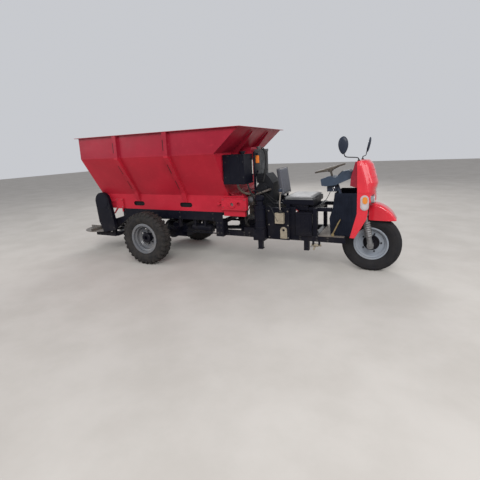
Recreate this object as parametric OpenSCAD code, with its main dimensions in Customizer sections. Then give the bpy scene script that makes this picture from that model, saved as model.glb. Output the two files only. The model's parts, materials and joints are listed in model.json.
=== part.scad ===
// Three-wheeled manure spreader: a driver's seat and an engine in front, a hopper with a conveyor
// floor behind, and two spinner discs at its tail. +X points forwards, +Y to the left and +Z up.
// The origin is on the ground, at the middle of the machine's length and width.

/* [Machine] */
// Distance between the rear axle and the front axle
wheelbase = 3160; // [3000:10:3300]
// Distance between the middles of the rear tyres
track = 1440; // [1400:5:1500]

/* [Wheels] */
// Radius of a rear tyre over its lugs
rear_tyre_r = 400; // [392:1:410]
// Width of a rear tyre
rear_tyre_w = 200; // [190:1:215]
// Height of a rear tyre's lugs
lug_h = 14; // [8:1:18]
// Lugs along each shoulder of a rear tyre
lug_count = 32; // [26:1:36]
// Radius of the front tyre
front_tyre_r = 372; // [362:1:378]
// Width of the front tyre
front_tyre_w = 172; // [160:1:180]
// Radius of the rims where the tyres' beads sit
bead_r = 203; // [195:1:210]
// Height of a rim's flange over the bead seat
flange_h = 14; // [8:1:18]
// Height of the rear rims' side rings over the bead seat
rear_flange_h = 30; // [22:1:34]
// Thickness of the rims
rim_t = 6; // [4:0.5:8]
// Radius of the rear hubs where they pass the rims
hub_r = 74; // [60:1:80]

/* [Hopper] */
// Height of the hopper's rim above the ground
hopper_top_z = 1945; // [1850:5:2050]
// Height of the crease where the sloping sides turn upright
crease_z = 1620; // [1500:5:1700]
// Height where the sloping sides meet the skirts
knee_z = 1030; // [1000:5:1080]
// Width over the hopper's upright upper walls
hopper_w = 1620; // [1500:5:1700]
// Width over the skirts
skirt_w = 900; // [860:5:940]
// Distance of the rear wall behind the rear axle
hopper_rear = 1100; // [1090:5:1120]
// Distance of the front wall ahead of the rear axle
hopper_front = 1300; // [1250:5:1310]
// Reach of the flared front panel ahead of the front wall
flare_reach = 360; // [250:5:400]
// Overhang of the rim around the walls
rim_overhang = 45; // [30:1:60]
// Thickness of the hopper's sheets
sheet_t = 5; // [4:0.5:8]
// Width of a side rib
rib_w = 70; // [50:1:80]
// Depth of a side rib
rib_d = 56; // [35:1:60]
// Height that the rear gate slides up
gate_travel = 300; // [200:5:320]

/* [Conveyor] */
// Height of the conveyor's shafts
shaft_z = 920; // [915:1:925]
// Distance of the conveyor's front shaft ahead of the rear axle
front_shaft_x = 1390; // [1370:5:1410]
// Distance of the conveyor's rear shaft behind the rear axle
rear_shaft_x = 1070; // [1060:5:1080]
// Radius of the chain's path around its sprockets
sprocket_r = 60; // [55:1:62]
// Slats on each run of the conveyor
slat_count = 9; // [6:1:12]

/* [Chassis] */
// Width over the upper rails
rail_w = 900; // [880:5:920]
// Height of the upper rails' top
rail_top_z = 790; // [780:2:800]
// Depth of the upper rails
rail_h = 130; // [110:2:140]
// Width over the lower rails
low_rail_w = 720; // [710:5:740]
// Height of the lower rails' underside
low_rail_z = 430; // [420:2:440]
// Depth of the lower rails
low_rail_h = 75; // [65:1:85]
// Width of each rail's flanges
rail_flange = 60; // [50:1:70]
// Thickness of the rails' steel
rail_t = 6; // [5:0.5:9]

/* [Spinners] */
// Radius of a spinner disc
disc_r = 300; // [270:5:310]
// Height of a spinner disc's underside
disc_z = 380; // [370:1:395]
// Blades on each disc
blade_count = 4; // [3:1:6]

/* [Driver] */
// Width of the seat
seat_w = 600; // [540:5:640]
// Radius of the steering wheel
steering_r = 208; // [190:1:220]
// Tilt of the steering column from upright
column_tilt = 16; // [10:1:25]

/* [Front] */
// Tilt of the fork from upright
rake = 10; // [8:0.5:12]
// Distance between the middles of the fork's legs
fork_w = 298; // [292:2:310]
// Width of the fairing
fairing_w = 600; // [590:2:620]
// Thickness of the fairing's shell
fairing_t = 6; // [4:0.5:8]

/* [Hidden] */

// Gap that pieces keep from each other where one is seated on the next
seat_gap = 0.3;
// Radial play of a shaft in its bore
fit = 0.05;
round_n = 48;
fine_n = 96;

red = "#c0182a";
black = "#1b1c20";
silver = "#b9bdc2";
rubber = "#4a453f";
grey = "#4b5057";

spinner_x = 1340;
rear_reach = spinner_x + disc_r;
front_reach = wheelbase + front_tyre_r;
x0 = (rear_reach - front_reach) / 2;

rail_bottom_z = rail_top_z - rail_h;
low_rail_top_z = low_rail_z + low_rail_h;
rail_rear = 690;
drop_x = 1070;
drop_len = 120;
// The front end's places are given for this wheelbase and move with the front axle
drawn_wheelbase = 3160;
front_shift = wheelbase - drawn_wheelbase;
low_rail_front = 2880 + front_shift;
rail_y = rail_w / 2;
low_rail_y = low_rail_w / 2;

skirt_y = skirt_w / 2;
wall_y = hopper_w / 2;
chain_t = 12;
slat_t = 14;
chain_top_z = shaft_z + sprocket_r + chain_t / 2;
slat_top_z = chain_top_z + slat_t;
bed_t = 5;
bed_top_z = shaft_z + sprocket_r - chain_t / 2 - seat_gap;
wall_bottom_z = slat_top_z + 10;

// Everything is drawn from the middle of the rear axle, on the ground
module from_axle() {
    translate([x0, 0, 0]) children();
}

module from_front() {
    translate([x0 + front_shift, 0, 0]) children();
}

// A shape drawn in the X-Z plane, as thick as w, with its middle at y
module side_plate(w, y = 0) {
    translate([0, y + w / 2, 0]) rotate([90, 0, 0]) linear_extrude(w) children();
}

// A shape drawn in the Y-Z plane, as thick as w, from x on
module cross_plate(w, x = 0) {
    translate([x, 0, 0]) rotate([90, 0, 90]) linear_extrude(w) children();
}

module both_sides() {
    children();
    mirror([0, 1, 0]) children();
}

module box(from, to) {
    translate(from) cube(to - from);
}

// A round bar between two points
module bar(from, to, r, n = 24) {
    d = to - from;
    len = norm(d);
    translate(from) rotate([0, acos(d[2] / len), atan2(d[1], d[0])]) cylinder(h = len, r = r, $fn = n);
}

// The corners of an outline turned into arcs of radius r
function rounded(points, r, steps = 4) = let (n = len(points)) [for (i = [0 : n - 1])
    let (a = points[(i + n - 1) % n] - points[i], b = points[(i + 1) % n] - points[i],
        u = a / norm(a), v = b / norm(b), half = acos(u * v) / 2,
        centre = points[i] + (u + v) / norm(u + v) * r / sin(half),
        from = points[i] + u * r / tan(half) - centre, to = points[i] + v * r / tan(half) - centre,
        start = atan2(from[1], from[0]), turn = (atan2(to[1], to[0]) - start + 540) % 360 - 180)
    for (k = [0 : steps]) centre + r * [cos(start + turn * k / steps), sin(start + turn * k / steps)]];

function reverse(list) = [for (i = [len(list) - 1 : -1 : 0]) list[i]];

// Wheels

// Half of a tyre's section over its rim: share of its height, share of its width from the middle
tyre_outline = [[0, 0.345], [0.1, 0.4], [0.3, 0.475], [0.5, 0.5], [0.73, 0.475], [0.92, 0.4], [1, 0.3]];
bead_share = 0.33;

module tyre_section(r, w, side_h) {
    foot_r = bead_r + side_h + 3;
    half = concat([[bead_r, bead_share * w], [foot_r - 3, bead_share * w]],
        [for (p = tyre_outline) [foot_r + p[0] * (r - foot_r), p[1] * w]]);
    polygon(concat(half, [for (p = reverse(half)) [p[0], -p[1]]]));
}

module lug_ring(r, w) {
    rotate_extrude($fn = fine_n) polygon([[r - 3.6 * lug_h, -0.5 * w], [r - 1.6 * lug_h, -0.47 * w],
        [r, -0.37 * w], [r, 0.37 * w], [r - 1.6 * lug_h, 0.47 * w], [r - 3.6 * lug_h, 0.5 * w]]);
}

// One lug runs from the tread's middle over the shoulder, aslant
module lug_bar(r, w) {
    pitch = 2 * PI * r / lug_count;
    lug = 0.42 * pitch;
    translate([r - 5 * lug_h, 0, 0]) rotate([90, 0, 90]) linear_extrude(6 * lug_h)
        polygon([[-lug / 2, -0.06 * w], [lug / 2, -0.1 * w], [lug * 1.1, 0.51 * w], [0, 0.51 * w]]);
}

module rear_tyre() {
    carcass_r = rear_tyre_r - lug_h;
    rotate_extrude($fn = fine_n) tyre_section(carcass_r, rear_tyre_w, rear_flange_h);
    intersection() {
        lug_ring(rear_tyre_r, rear_tyre_w);
        for (i = [0 : lug_count - 1]) {
            rotate([0, 0, i * 360 / lug_count]) lug_bar(rear_tyre_r, rear_tyre_w);
            rotate([0, 0, (i + 0.5) * 360 / lug_count]) mirror([0, 0, 1]) lug_bar(rear_tyre_r, rear_tyre_w);
        }
    }
}

module front_tyre_shape() {
    groove = 6;
    difference() {
        rotate_extrude($fn = fine_n) tyre_section(front_tyre_r, front_tyre_w, flange_h);
        for (y = [-0.2, 0, 0.2])
            translate([0, 0, y * front_tyre_w - groove / 2]) difference() {
                cylinder(h = groove, r = front_tyre_r + 10, $fn = fine_n);
                translate([0, 0, -1]) cylinder(h = groove + 2, r = front_tyre_r - groove, $fn = fine_n);
            }
    }
}

// A rim for a tyre of width w, whose dish has its outer face at height disc_y along the axle. It joins
// the well at join_y, is bolted on round the hub's pilot, and has a row of vents.
module rim_shape(w, side_h, disc_y, join_y, pilot_r, bolt_r, bolts, vent_r, vents) {
    seat = bead_share * w + seat_gap;
    seat_r = bead_r - seat_gap;
    side_r = bead_r + side_h;
    well_r = seat_r - 22;
    dish_r = max(vent_r + 20, bolt_r + 18);
    difference() {
        union() {
            rotate_extrude($fn = fine_n) polygon([[seat_r, -seat], [side_r, -seat - 2],
                [side_r, -seat - 2 - rim_t], [seat_r - rim_t, -seat - rim_t - 2],
                [seat_r - rim_t, -seat * 0.55], [well_r - rim_t, -seat * 0.4],
                [well_r - rim_t, seat * 0.4], [seat_r - rim_t, seat * 0.55],
                [seat_r - rim_t, seat + rim_t + 2], [side_r - 6, seat + 4 + rim_t], [side_r, seat + 2 + rim_t],
                [side_r, seat + 2], [seat_r, seat], [seat_r, seat * 0.55],
                [well_r, seat * 0.4], [well_r, -seat * 0.4], [seat_r, -seat * 0.55]]);
            rotate_extrude($fn = fine_n) polygon([[pilot_r, disc_y - rim_t], [dish_r, disc_y - rim_t],
                [well_r - rim_t + 1, join_y - rim_t], [well_r - rim_t + 1, join_y], [dish_r - 3, disc_y],
                [pilot_r, disc_y]]);
        }
        for (i = [0 : bolts - 1]) rotate([0, 0, i * 360 / bolts])
            translate([bolt_r, 0, disc_y - 20]) cylinder(h = 40, r = stud_r + seat_gap, $fn = 24);
        for (i = [0 : vents - 1]) rotate([0, 0, (i + 0.5) * 360 / vents])
            translate([vent_r, 0, disc_y - 20]) cylinder(h = 40, r = 13, $fn = 24);
    }
}

stud_r = 7;
nut_r = 12;

// A hub whose flange carries the rim's dish, with its studs and nuts; it reaches out by cap_len
module hub_shape(disc_y, drum_r, drum_len, pilot_r, cap_len, bore_r, bolt_r, bolts) {
    face = disc_y - rim_t - seat_gap;
    difference() {
        union() {
            translate([0, 0, face - drum_len]) cylinder(h = drum_len, r = drum_r, $fn = round_n);
            translate([0, 0, face - 1]) cylinder(h = cap_len + disc_y - face - 7, r = pilot_r - seat_gap, $fn = round_n);
            translate([0, 0, disc_y + cap_len - 9])
                cylinder(h = 9, r1 = pilot_r - seat_gap, r2 = pilot_r - 10, $fn = round_n);
            for (i = [0 : bolts - 1]) rotate([0, 0, i * 360 / bolts]) translate([bolt_r, 0, 0]) {
                translate([0, 0, face - 1]) cylinder(h = disc_y - face + 22, r = stud_r, $fn = 24);
                translate([0, 0, disc_y + seat_gap]) cylinder(h = 12, r = nut_r, $fn = 6);
            }
        }
        translate([0, 0, face - drum_len - 1]) cylinder(h = drum_len + cap_len + rim_t + 3, r = bore_r + fit, $fn = round_n);
    }
}

axle_stub_r = 30;
rear_disc_y = -46;
rear_bolt_r = 96;
rear_bolts = 8;
rear_drum_len = 50;
front_axle_r = 12;

// The wheel's own +Z points outwards on its side of the machine
module rear_wheel_place(side) {
    from_axle() translate([0, side * track / 2, rear_tyre_r]) rotate([-side * 90, 0, 0]) children();
}

module rear_rim() {
    rim_shape(rear_tyre_w, rear_flange_h, rear_disc_y, -20, hub_r, rear_bolt_r, rear_bolts, 134, 8);
}

module rear_hub() {
    hub_shape(rear_disc_y, drum_r, rear_drum_len, hub_r, 72, axle_stub_r, rear_bolt_r, rear_bolts);
}

module rear_tyre_right() {
    color(rubber) rear_wheel_place(-1) rear_tyre();
}

module rear_tyre_left() {
    color(rubber) rear_wheel_place(1) rear_tyre();
}

module rear_rim_right() {
    color(silver) rear_wheel_place(-1) rear_rim();
}

module rear_rim_left() {
    color(silver) rear_wheel_place(1) rear_rim();
}

module rear_hub_right() {
    color(black) rear_wheel_place(-1) rear_hub();
}

module rear_hub_left() {
    color(black) rear_wheel_place(1) rear_hub();
}

front_disc_y = -6;
front_pilot_r = 104;
front_bolt_r = 122;
front_bolts = 5;
front_hub_half = 84;

module front_wheel_place() {
    from_axle() translate([wheelbase, 0, front_tyre_r]) rotate([90, 0, 0]) children();
}

module front_tyre() {
    color(rubber) front_wheel_place() front_tyre_shape();
}

module front_rim() {
    color(silver) front_wheel_place()
        rim_shape(front_tyre_w, flange_h, front_disc_y, 14, front_pilot_r, front_bolt_r, front_bolts, 140, 0);
}

// The brake drum fills the dish's opening, and the hub inside it runs on the axle
module front_hub() {
    color(black) front_wheel_place() difference() {
        union() {
            hub_shape(front_disc_y, 132, 52, front_pilot_r, 12, front_axle_r, front_bolt_r, front_bolts);
            translate([0, 0, -front_hub_half]) cylinder(h = 2 * front_hub_half, r = 36, $fn = round_n);
        }
        // The drum's open ring behind its rim
        translate([0, 0, front_disc_y - 14]) difference() {
            cylinder(h = 60, r = front_pilot_r - 14, $fn = round_n);
            translate([0, 0, -1]) cylinder(h = 62, r = 58, $fn = round_n);
        }
        translate([0, 0, -front_hub_half - 1])
            cylinder(h = 2 * front_hub_half + 2, r = front_axle_r + fit, $fn = round_n);
    }
}

// Chassis

// A channel along X whose open side faces the machine's middle; y is its outer face
module channel(x1, x2, y, z, h) {
    difference() {
        box([x1, y - rail_flange, z], [x2, y, z + h]);
        box([x1 - 1, y - rail_flange - 1, z + rail_t], [x2 + 1, y - rail_t, z + h - rail_t]);
    }
}

module rail() {
    channel(-rail_rear, drop_x + drop_len, rail_y, rail_bottom_z, rail_h);
    channel(drop_x, low_rail_front, low_rail_y, low_rail_z, low_rail_h);
    box([drop_x, low_rail_y - rail_flange, low_rail_top_z], [drop_x + drop_len, rail_y, rail_bottom_z]);
    box([drop_x, low_rail_y, low_rail_z], [drop_x + drop_len, rail_y, low_rail_top_z]);
}

module rail_right() {
    color(black) from_axle() mirror([0, 1, 0]) rail();
}

module rail_left() {
    color(black) from_axle() rail();
}

cross_tube = 60;
// Places of the upper and the lower cross tubes along the machine
upper_cross_x = [-670, -230, 420, 1000];
lower_cross_x = [1720, 2460];
drop_cross_z = 600;

module cross_members() {
    color(black) from_axle() {
        for (x = upper_cross_x)
            box([x, -rail_y + rail_t, rail_bottom_z + 30], [x + cross_tube, rail_y - rail_t,
                rail_bottom_z + 30 + cross_tube]);
        box([drop_x + 30, -low_rail_y + rail_flange, drop_cross_z],
            [drop_x + 30 + cross_tube, low_rail_y - rail_flange, drop_cross_z + 50]);
        for (x = lower_cross_x)
            box([x, -low_rail_y + rail_t, low_rail_z + rail_t], [x + cross_tube, low_rail_y - rail_t,
                low_rail_top_z - rail_t]);
    }
}

axle_r = 42;
drum_r = 130;
housing_r = 160;
hub_face_y = track / 2 + rear_disc_y;
plate_y = hub_face_y - rim_t - rear_drum_len - 12;

module rear_axle() {
    // The springs' seats on the axle tube
    color(black) from_axle() both_sides() box([-60, rail_y - rail_flange, rear_tyre_r],
        [60, rail_y, rear_tyre_r + axle_r + 8]);
    color(black) from_axle() translate([0, 0, rear_tyre_r]) rotate([90, 0, 0]) {
        translate([0, 0, -plate_y]) cylinder(h = 2 * plate_y, r = axle_r, $fn = round_n);
        translate([0, 0, -hub_face_y - 30])
            cylinder(h = 2 * hub_face_y + 60, r = axle_stub_r, $fn = round_n);
        // The brakes' backing plates
        for (s = [-1, 1]) translate([0, 0, s * plate_y - 6]) cylinder(h = 12, r = drum_r + 4, $fn = round_n);
        sphere(r = 145, $fn = round_n);
        translate([0, 0, -70]) cylinder(h = 140, r = housing_r, $fn = round_n);
    }
}

leaf_w = 60;
leaf_t = 9;
leaf_bend_r = 1500;
// Half lengths of the leaves, the longest on top
leaf_half = [430, 340, 250, 160];
spring_y = rail_y - rail_flange / 2;
spring_seat_z = rear_tyre_r + axle_r + 8;
leaf_centre_z = spring_seat_z + (len(leaf_half) - 1) * leaf_t + leaf_bend_r;

module leaf(i) {
    r = leaf_bend_r + i * leaf_t;
    translate([0, leaf_centre_z]) intersection() {
        difference() {
            circle(r = r, $fn = fine_n);
            circle(r = r - leaf_t, $fn = fine_n);
        }
        translate([-leaf_half[i], -2 * leaf_bend_r]) square([2 * leaf_half[i], 2 * leaf_bend_r]);
    }
}

module leaf_springs() {
    eye_x = leaf_half[0];
    eye_z = leaf_centre_z - sqrt(pow(leaf_bend_r - leaf_t / 2, 2) - pow(eye_x, 2));
    color(black) from_axle() both_sides() {
        side_plate(leaf_w, spring_y) for (i = [0 : len(leaf_half) - 1]) leaf(i);
        for (s = [-1, 1]) {
            translate([s * eye_x, spring_y + leaf_w / 2, eye_z]) rotate([90, 0, 0])
                cylinder(h = leaf_w, r = 18, $fn = 24);
            box([s * eye_x - 12, spring_y - leaf_w / 2, eye_z], [s * eye_x + 12, spring_y + leaf_w / 2,
                rail_bottom_z]);
        }
    }
}

drive_z = 480;
drive_gear_x = 930;
spinner_shaft_z = drive_z + 40;
gear_case_top = drive_z + 60;
gearbox_x = 1330;
gearbox_len = 330;

// The shaft from the engine's gearbox to the axle, the one on to the spinners' gears, and the brake rod
module drive_line() {
    color(black) from_axle() {
        difference() {
            bar([150, 0, rear_tyre_r + 10], [gearbox_x + 10, 0, drive_z], 30);
            translate([0, 0, rear_tyre_r]) rotate([90, 0, 0])
                cylinder(h = 140, r = housing_r + seat_gap, center = true, $fn = round_n);
        }
        bar([-drive_gear_x + 61 + seat_gap, 62, spinner_shaft_z], [gearbox_x + 10, 134, spinner_shaft_z + 45], 16);
        box([gearbox_x, -150, 410], [gearbox_x + gearbox_len, 150, 640]);
        box([1500, -200, 515], [1640, 200, 555]);
        for (i = [0 : 4]) box([gearbox_x + 30 + i * 60, -156, 420], [gearbox_x + 38 + i * 60, 156, 630]);
        // The reduction gear on the shaft and the rod that leads to the front
        box([200, -300, 345], [450, 60, 560]);
        box([190, -290, 400], [460, 50, 500]);
        box([430, -380, 440], [470, -280, 462]);
        bar([450, -372, 451], [drop_x - seat_gap, -372, 451], 9);
    }
}

guard_y = 550;
beam_z = 290;
beam_h = 60;
gear_box_top = disc_z - 12;

arm_w = 50;

module spinner_frame() {
    hanger_y = rail_y - rail_flange / 2;
    gear_y = disc_r + 8;
    color(black) from_axle() {
        both_sides() {
            // The arm slopes down from the rail's rear end, with a brace under it
            side_plate(arm_w, hanger_y) polygon([[-560, rail_bottom_z - seat_gap],
                [-rail_rear, rail_bottom_z - seat_gap], [-900, 600], [-1000, 600], [-1000, beam_z],
                [-930, beam_z], [-930, 420], [-860, 450]]);
            box([-spinner_x, hanger_y - 25, beam_z], [-930, hanger_y + 25, beam_z + beam_h]);
            translate([-spinner_x, gear_y, beam_z + beam_h])
                cylinder(h = gear_box_top - beam_z - beam_h, r = 80, $fn = round_n);
            translate([-spinner_x, gear_y, gear_box_top - 1])
                cylinder(h = disc_z - gear_box_top + 45, r = 20, $fn = round_n);
        }
        box([-spinner_x - 40, -hanger_y - 25, beam_z], [-spinner_x + 40, hanger_y + 25, beam_z + beam_h]);
        box([-1000, -hanger_y, beam_z], [-910, hanger_y, beam_z + beam_h]);
        box([-spinner_x, -40, beam_z], [-900, 40, beam_z + beam_h]);
        box([-drive_gear_x - 60, -80, beam_z + beam_h], [-drive_gear_x + 60, 80, gear_case_top]);
        translate([-drive_gear_x, 0, drive_z]) rotate([90, 0, 0])
            cylinder(h = guard_y - 10, r = 18, $fn = round_n);
    }
}

module spinner_disc(turn) {
    difference() {
        union() {
            cylinder(h = 6, r = disc_r, $fn = fine_n);
            cylinder(h = 40, r = 45, $fn = round_n);
            for (i = [0 : blade_count - 1]) rotate([0, 0, turn + i * 360 / blade_count])
                translate([40, 8, 5]) cube([disc_r - 50, 5, 45]);
        }
        translate([0, 0, -1]) cylinder(h = 60, r = 20 + fit, $fn = round_n);
    }
}

module spinner_right() {
    color("#77706a") from_axle() translate([-spinner_x, -disc_r - 8, disc_z]) spinner_disc(0);
}

module spinner_left() {
    color("#77706a") from_axle() translate([-spinner_x, disc_r + 8, disc_z]) spinner_disc(45);
}

// Hopper

// A side's line across the machine, moved outwards by d, as points from the skirt up to the rim
function side_line(d, bottom, top) = [[skirt_y + d, bottom], [skirt_y + d, knee_z - d * 0.5],
    [wall_y + d, crease_z - d * 0.5], [wall_y + d, top]];

rib_x = [-330, 575];
rib_hole = [220, 70];
rib_hole_z = 880;
flange_t = 6;

// A rib is a channel folded from one sheet, open towards the wall
module rib(x) {
    slot_w = 13;
    slot_x = x - rib_w / 2 - 1;
    bottom = rib_hole_z + rib_hole[1] / 2 + 4;
    top = hopper_top_z - flange_t;
    difference() {
        cross_plate(rib_w, x - rib_w / 2) polygon(concat([[skirt_y + 12, bottom],
            [skirt_y + rib_d, knee_z + 40], [wall_y + rib_d - 12, crease_z - 20],
            [wall_y + rib_d - 14, top]], reverse(side_line(-sheet_t / 2, bottom, top))));
        cross_plate(rib_w - 2 * sheet_t, x - rib_w / 2 + sheet_t) polygon(concat([[skirt_y + 8, bottom + 30],
            [skirt_y + rib_d - sheet_t, knee_z + 45], [wall_y + rib_d - 12 - sheet_t, crease_z - 18],
            [wall_y + rib_d - 14 - sheet_t, top - 6]], reverse(side_line(-0.7 * sheet_t, bottom + 30, top - 6))));
        // Along the rear edge, one slot in the upright part and two in the sloping part
        box([slot_x, wall_y + 5, crease_z + 70], [slot_x + slot_w, wall_y + rib_d + 5, crease_z + 220]);
        for (t = [0.14, 0.56])
            translate([slot_x, skirt_y + rib_d / 2 + t * (wall_y - skirt_y), knee_z + 20 + t * (crease_z - knee_z)])
                rotate([-atan((wall_y - skirt_y) / (crease_z - knee_z)), 0, 0]) cube([slot_w, rib_d, 165]);
    }
}

module oblong(long, high) {
    for (s = [-1, 1]) translate([s * (long - high) / 2, 0]) circle(r = high / 2, $fn = 48);
    translate([-(long - high) / 2, -high / 2]) square([long - high, high]);
}

module hopper_side() {
    sheet_top_z = hopper_top_z - flange_t / 2;
    line_in = side_line(-sheet_t, rail_top_z, sheet_top_z);
    line_out = side_line(0, rail_top_z, sheet_top_z);
    flare_x = hopper_front + flare_reach;
    difference() {
        union() {
            cross_plate(hopper_front + hopper_rear, -hopper_rear) polygon(concat(line_out, reverse(line_in)));
            // The upright band runs on to the flared front panel
            side_plate(sheet_t, wall_y - sheet_t / 2) polygon([[hopper_front - 1, crease_z],
                [hopper_front, crease_z], [flare_x, hopper_top_z - flange_t],
                [flare_x, sheet_top_z], [hopper_front - 1, sheet_top_z]]);
            for (x = rib_x) rib(x);
            // The skirt runs on to the rear shaft
            box([-rear_shaft_x - 62, skirt_y - sheet_t, rail_top_z], [-hopper_rear + 1, skirt_y, knee_z - 30]);
            // The rim is the sheet's edge, folded outwards
            box([-hopper_rear - rim_overhang, wall_y - sheet_t, hopper_top_z - flange_t],
                [flare_x + rim_overhang, wall_y + rim_overhang, hopper_top_z]);
        }
        for (x = rib_x) translate([x, skirt_y + 10, rib_hole_z]) rotate([90, 0, 0])
            linear_extrude(30) oblong(rib_hole[0], rib_hole[1]);
        translate([-rear_shaft_x, skirt_y + 10, shaft_z]) rotate([90, 0, 0])
            cylinder(h = 30, r = 30, $fn = round_n);
    }
    // The skirt runs on to the front shaft
    difference() {
        box([hopper_front - 1, skirt_y - sheet_t, rail_top_z], [front_shaft_x + 150, skirt_y, knee_z]);
        translate([front_shaft_x, skirt_y + 10, shaft_z]) rotate([90, 0, 0])
            cylinder(h = 30, r = 30, $fn = round_n);
    }
}

module hopper_side_right() {
    color(red) from_axle() mirror([0, 1, 0]) hopper_side();
}

module hopper_side_left() {
    color(red) from_axle() hopper_side();
}

// The shape of an end wall between the sides' inner faces, up to the crease or to the top
module end_wall_2d(top) {
    line = side_line(-sheet_t - seat_gap, wall_bottom_z, top);
    polygon(concat(line, [for (p = reverse(line)) [-p[0], p[1]]]));
}

gusset_y = 300;

flare_box_len = 250;
flare_box_top_z = crease_z + 65;

// The outline of the box under the flare, made smaller by t, with its slanted corner in the flare's sheet
module flare_box_2d(t) {
    back = hopper_front - sheet_t / 2 + 2 * t;
    slope = (hopper_top_z - crease_z) / flare_reach;
    bottom = crease_z - 120 - (t > 0 ? 1 : 0);
    top = flare_box_top_z - t;
    polygon([[back, bottom], [hopper_front + flare_box_len - t, bottom], [hopper_front + flare_box_len - t, top],
        [hopper_front + (top - crease_z + 2 * t) / slope, top], [back, crease_z + slope * (back - hopper_front) - 2 * t]]);
}

module hopper_front() {
    flare_x = hopper_front + flare_reach;
    half = wall_y - sheet_t - seat_gap;
    color(red) from_axle() {
        cross_plate(sheet_t, hopper_front - sheet_t) end_wall_2d(crease_z + sheet_t);
        side_plate(2 * half) polygon([[hopper_front - sheet_t, crease_z + sheet_t - 1],
            [hopper_front, crease_z + sheet_t - 1], [flare_x, hopper_top_z - flange_t],
            [flare_x + rim_overhang, hopper_top_z - flange_t], [flare_x + rim_overhang, hopper_top_z],
            [flare_x - sheet_t, hopper_top_z]]);
        // The box under the flare, open below
        difference() {
            side_plate(320) flare_box_2d(0);
            side_plate(310) flare_box_2d(sheet_t);
        }
        // Gussets under the flared panel
        for (y = [-gusset_y, gusset_y]) side_plate(sheet_t, y) polygon([[hopper_front - 1, crease_z],
            [hopper_front + 120, crease_z + 3 + 120 * (hopper_top_z - crease_z) / flare_reach],
            [flare_x - 20, hopper_top_z - 30], [flare_x - 20, hopper_top_z - 60],
            [hopper_front + 60, crease_z - 60], [hopper_front - 1, crease_z - 60]]);
    }
}

gate_w = 760;
gate_z = wall_bottom_z + 6;
gate_h = 330;
gate_t = 6;
gate_gap = 0.6;
gate_x = -hopper_rear - gate_gap - gate_t;
guide_x = gate_x - gate_gap - 5;

module hopper_rear() {
    color(red) from_axle() {
        difference() {
            cross_plate(sheet_t, -hopper_rear) end_wall_2d(hopper_top_z - flange_t / 2);
            box([-hopper_rear - 1, -gate_w / 2 + 20, wall_bottom_z - 1],
                [-hopper_rear + sheet_t + 1, gate_w / 2 - 20, gate_z + gate_h - 20]);
        }
        box([-hopper_rear - rim_overhang, -wall_y + sheet_t + seat_gap, hopper_top_z - flange_t],
            [-hopper_rear + sheet_t, wall_y - sheet_t - seat_gap, hopper_top_z]);
        // Guides that hold the gate on both sides
        both_sides() {
            box([guide_x, gate_w / 2 + 6, gate_z], [-hopper_rear, gate_w / 2 + 30, gate_z + gate_h + gate_travel]);
            box([guide_x, gate_w / 2 - 20, gate_z], [guide_x + 5, gate_w / 2 + 7, gate_z + gate_h + gate_travel]);
        }
    }
}

module gate() {
    color(red) from_axle() {
        box([gate_x, -gate_w / 2, gate_z], [gate_x + gate_t, gate_w / 2, gate_z + gate_h]);
        box([gate_x - 40, -60, gate_z + gate_h - 60], [gate_x + 1, 60, gate_z + gate_h - 50]);
    }
}

module hopper_floor() {
    color("#6d2a2c") from_axle()
        box([-rear_shaft_x + 75, -skirt_y + sheet_t + seat_gap, bed_top_z - bed_t],
            [front_shaft_x - 75, skirt_y - sheet_t - seat_gap, bed_top_z]);
}

// A folded sheet over the conveyor's front turn
module conveyor_cover() {
    half = skirt_y - sheet_t - seat_gap;
    top = slat_top_z + 30;
    front = front_shaft_x + 130;
    color(red) from_axle() {
        side_plate(2 * half) polygon([[hopper_front + seat_gap, top + 50], [hopper_front + seat_gap, top + 56],
            [hopper_front + 60, top + 10], [front, top + 5], [front + 3, top + 1], [front + 3, shaft_z - 10],
            [front, shaft_z - 10], [front, top + 1], [hopper_front + 58, top + 6]]);
        for (x = [hopper_front + 58, front - 12])
            box([x, -half, top + 5], [x + 14, half, top + 22]);
    }
}

chain_y = 400;
chain_w = 30;
slat_len = 2 * chain_y + chain_w;

module loop_2d(r) {
    translate([-rear_shaft_x, shaft_z]) circle(r = r, $fn = fine_n);
    translate([front_shaft_x, shaft_z]) circle(r = r, $fn = fine_n);
    translate([-rear_shaft_x, shaft_z - r]) square([rear_shaft_x + front_shaft_x, 2 * r]);
}

module conveyor_chain() {
    run = rear_shaft_x + front_shaft_x;
    color("#5a5652") from_axle() {
        both_sides() side_plate(chain_w, chain_y) difference() {
            loop_2d(sprocket_r + chain_t / 2);
            loop_2d(sprocket_r - chain_t / 2);
        }
        for (i = [0 : slat_count - 1]) {
            x = -rear_shaft_x + (i + 0.5) * run / slat_count;
            box([x - 20, -slat_len / 2, chain_top_z - 1], [x + 20, slat_len / 2, slat_top_z]);
            box([x - 20, -slat_len / 2, 2 * shaft_z - slat_top_z], [x + 20, slat_len / 2,
                2 * shaft_z - chain_top_z + 1]);
        }
    }
}

shaft_r = 25;

module conveyor_shafts() {
    color(black) from_axle() for (x = [-rear_shaft_x, front_shaft_x])
        translate([x, 0, shaft_z]) rotate([90, 0, 0]) {
            cylinder(h = 2 * guard_y - 60, r = shaft_r, center = true, $fn = round_n);
            for (s = [-1, 1]) translate([0, 0, s * chain_y])
                cylinder(h = 20, r = sprocket_r - chain_t / 2 - seat_gap, center = true, $fn = round_n);
        }
}

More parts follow.
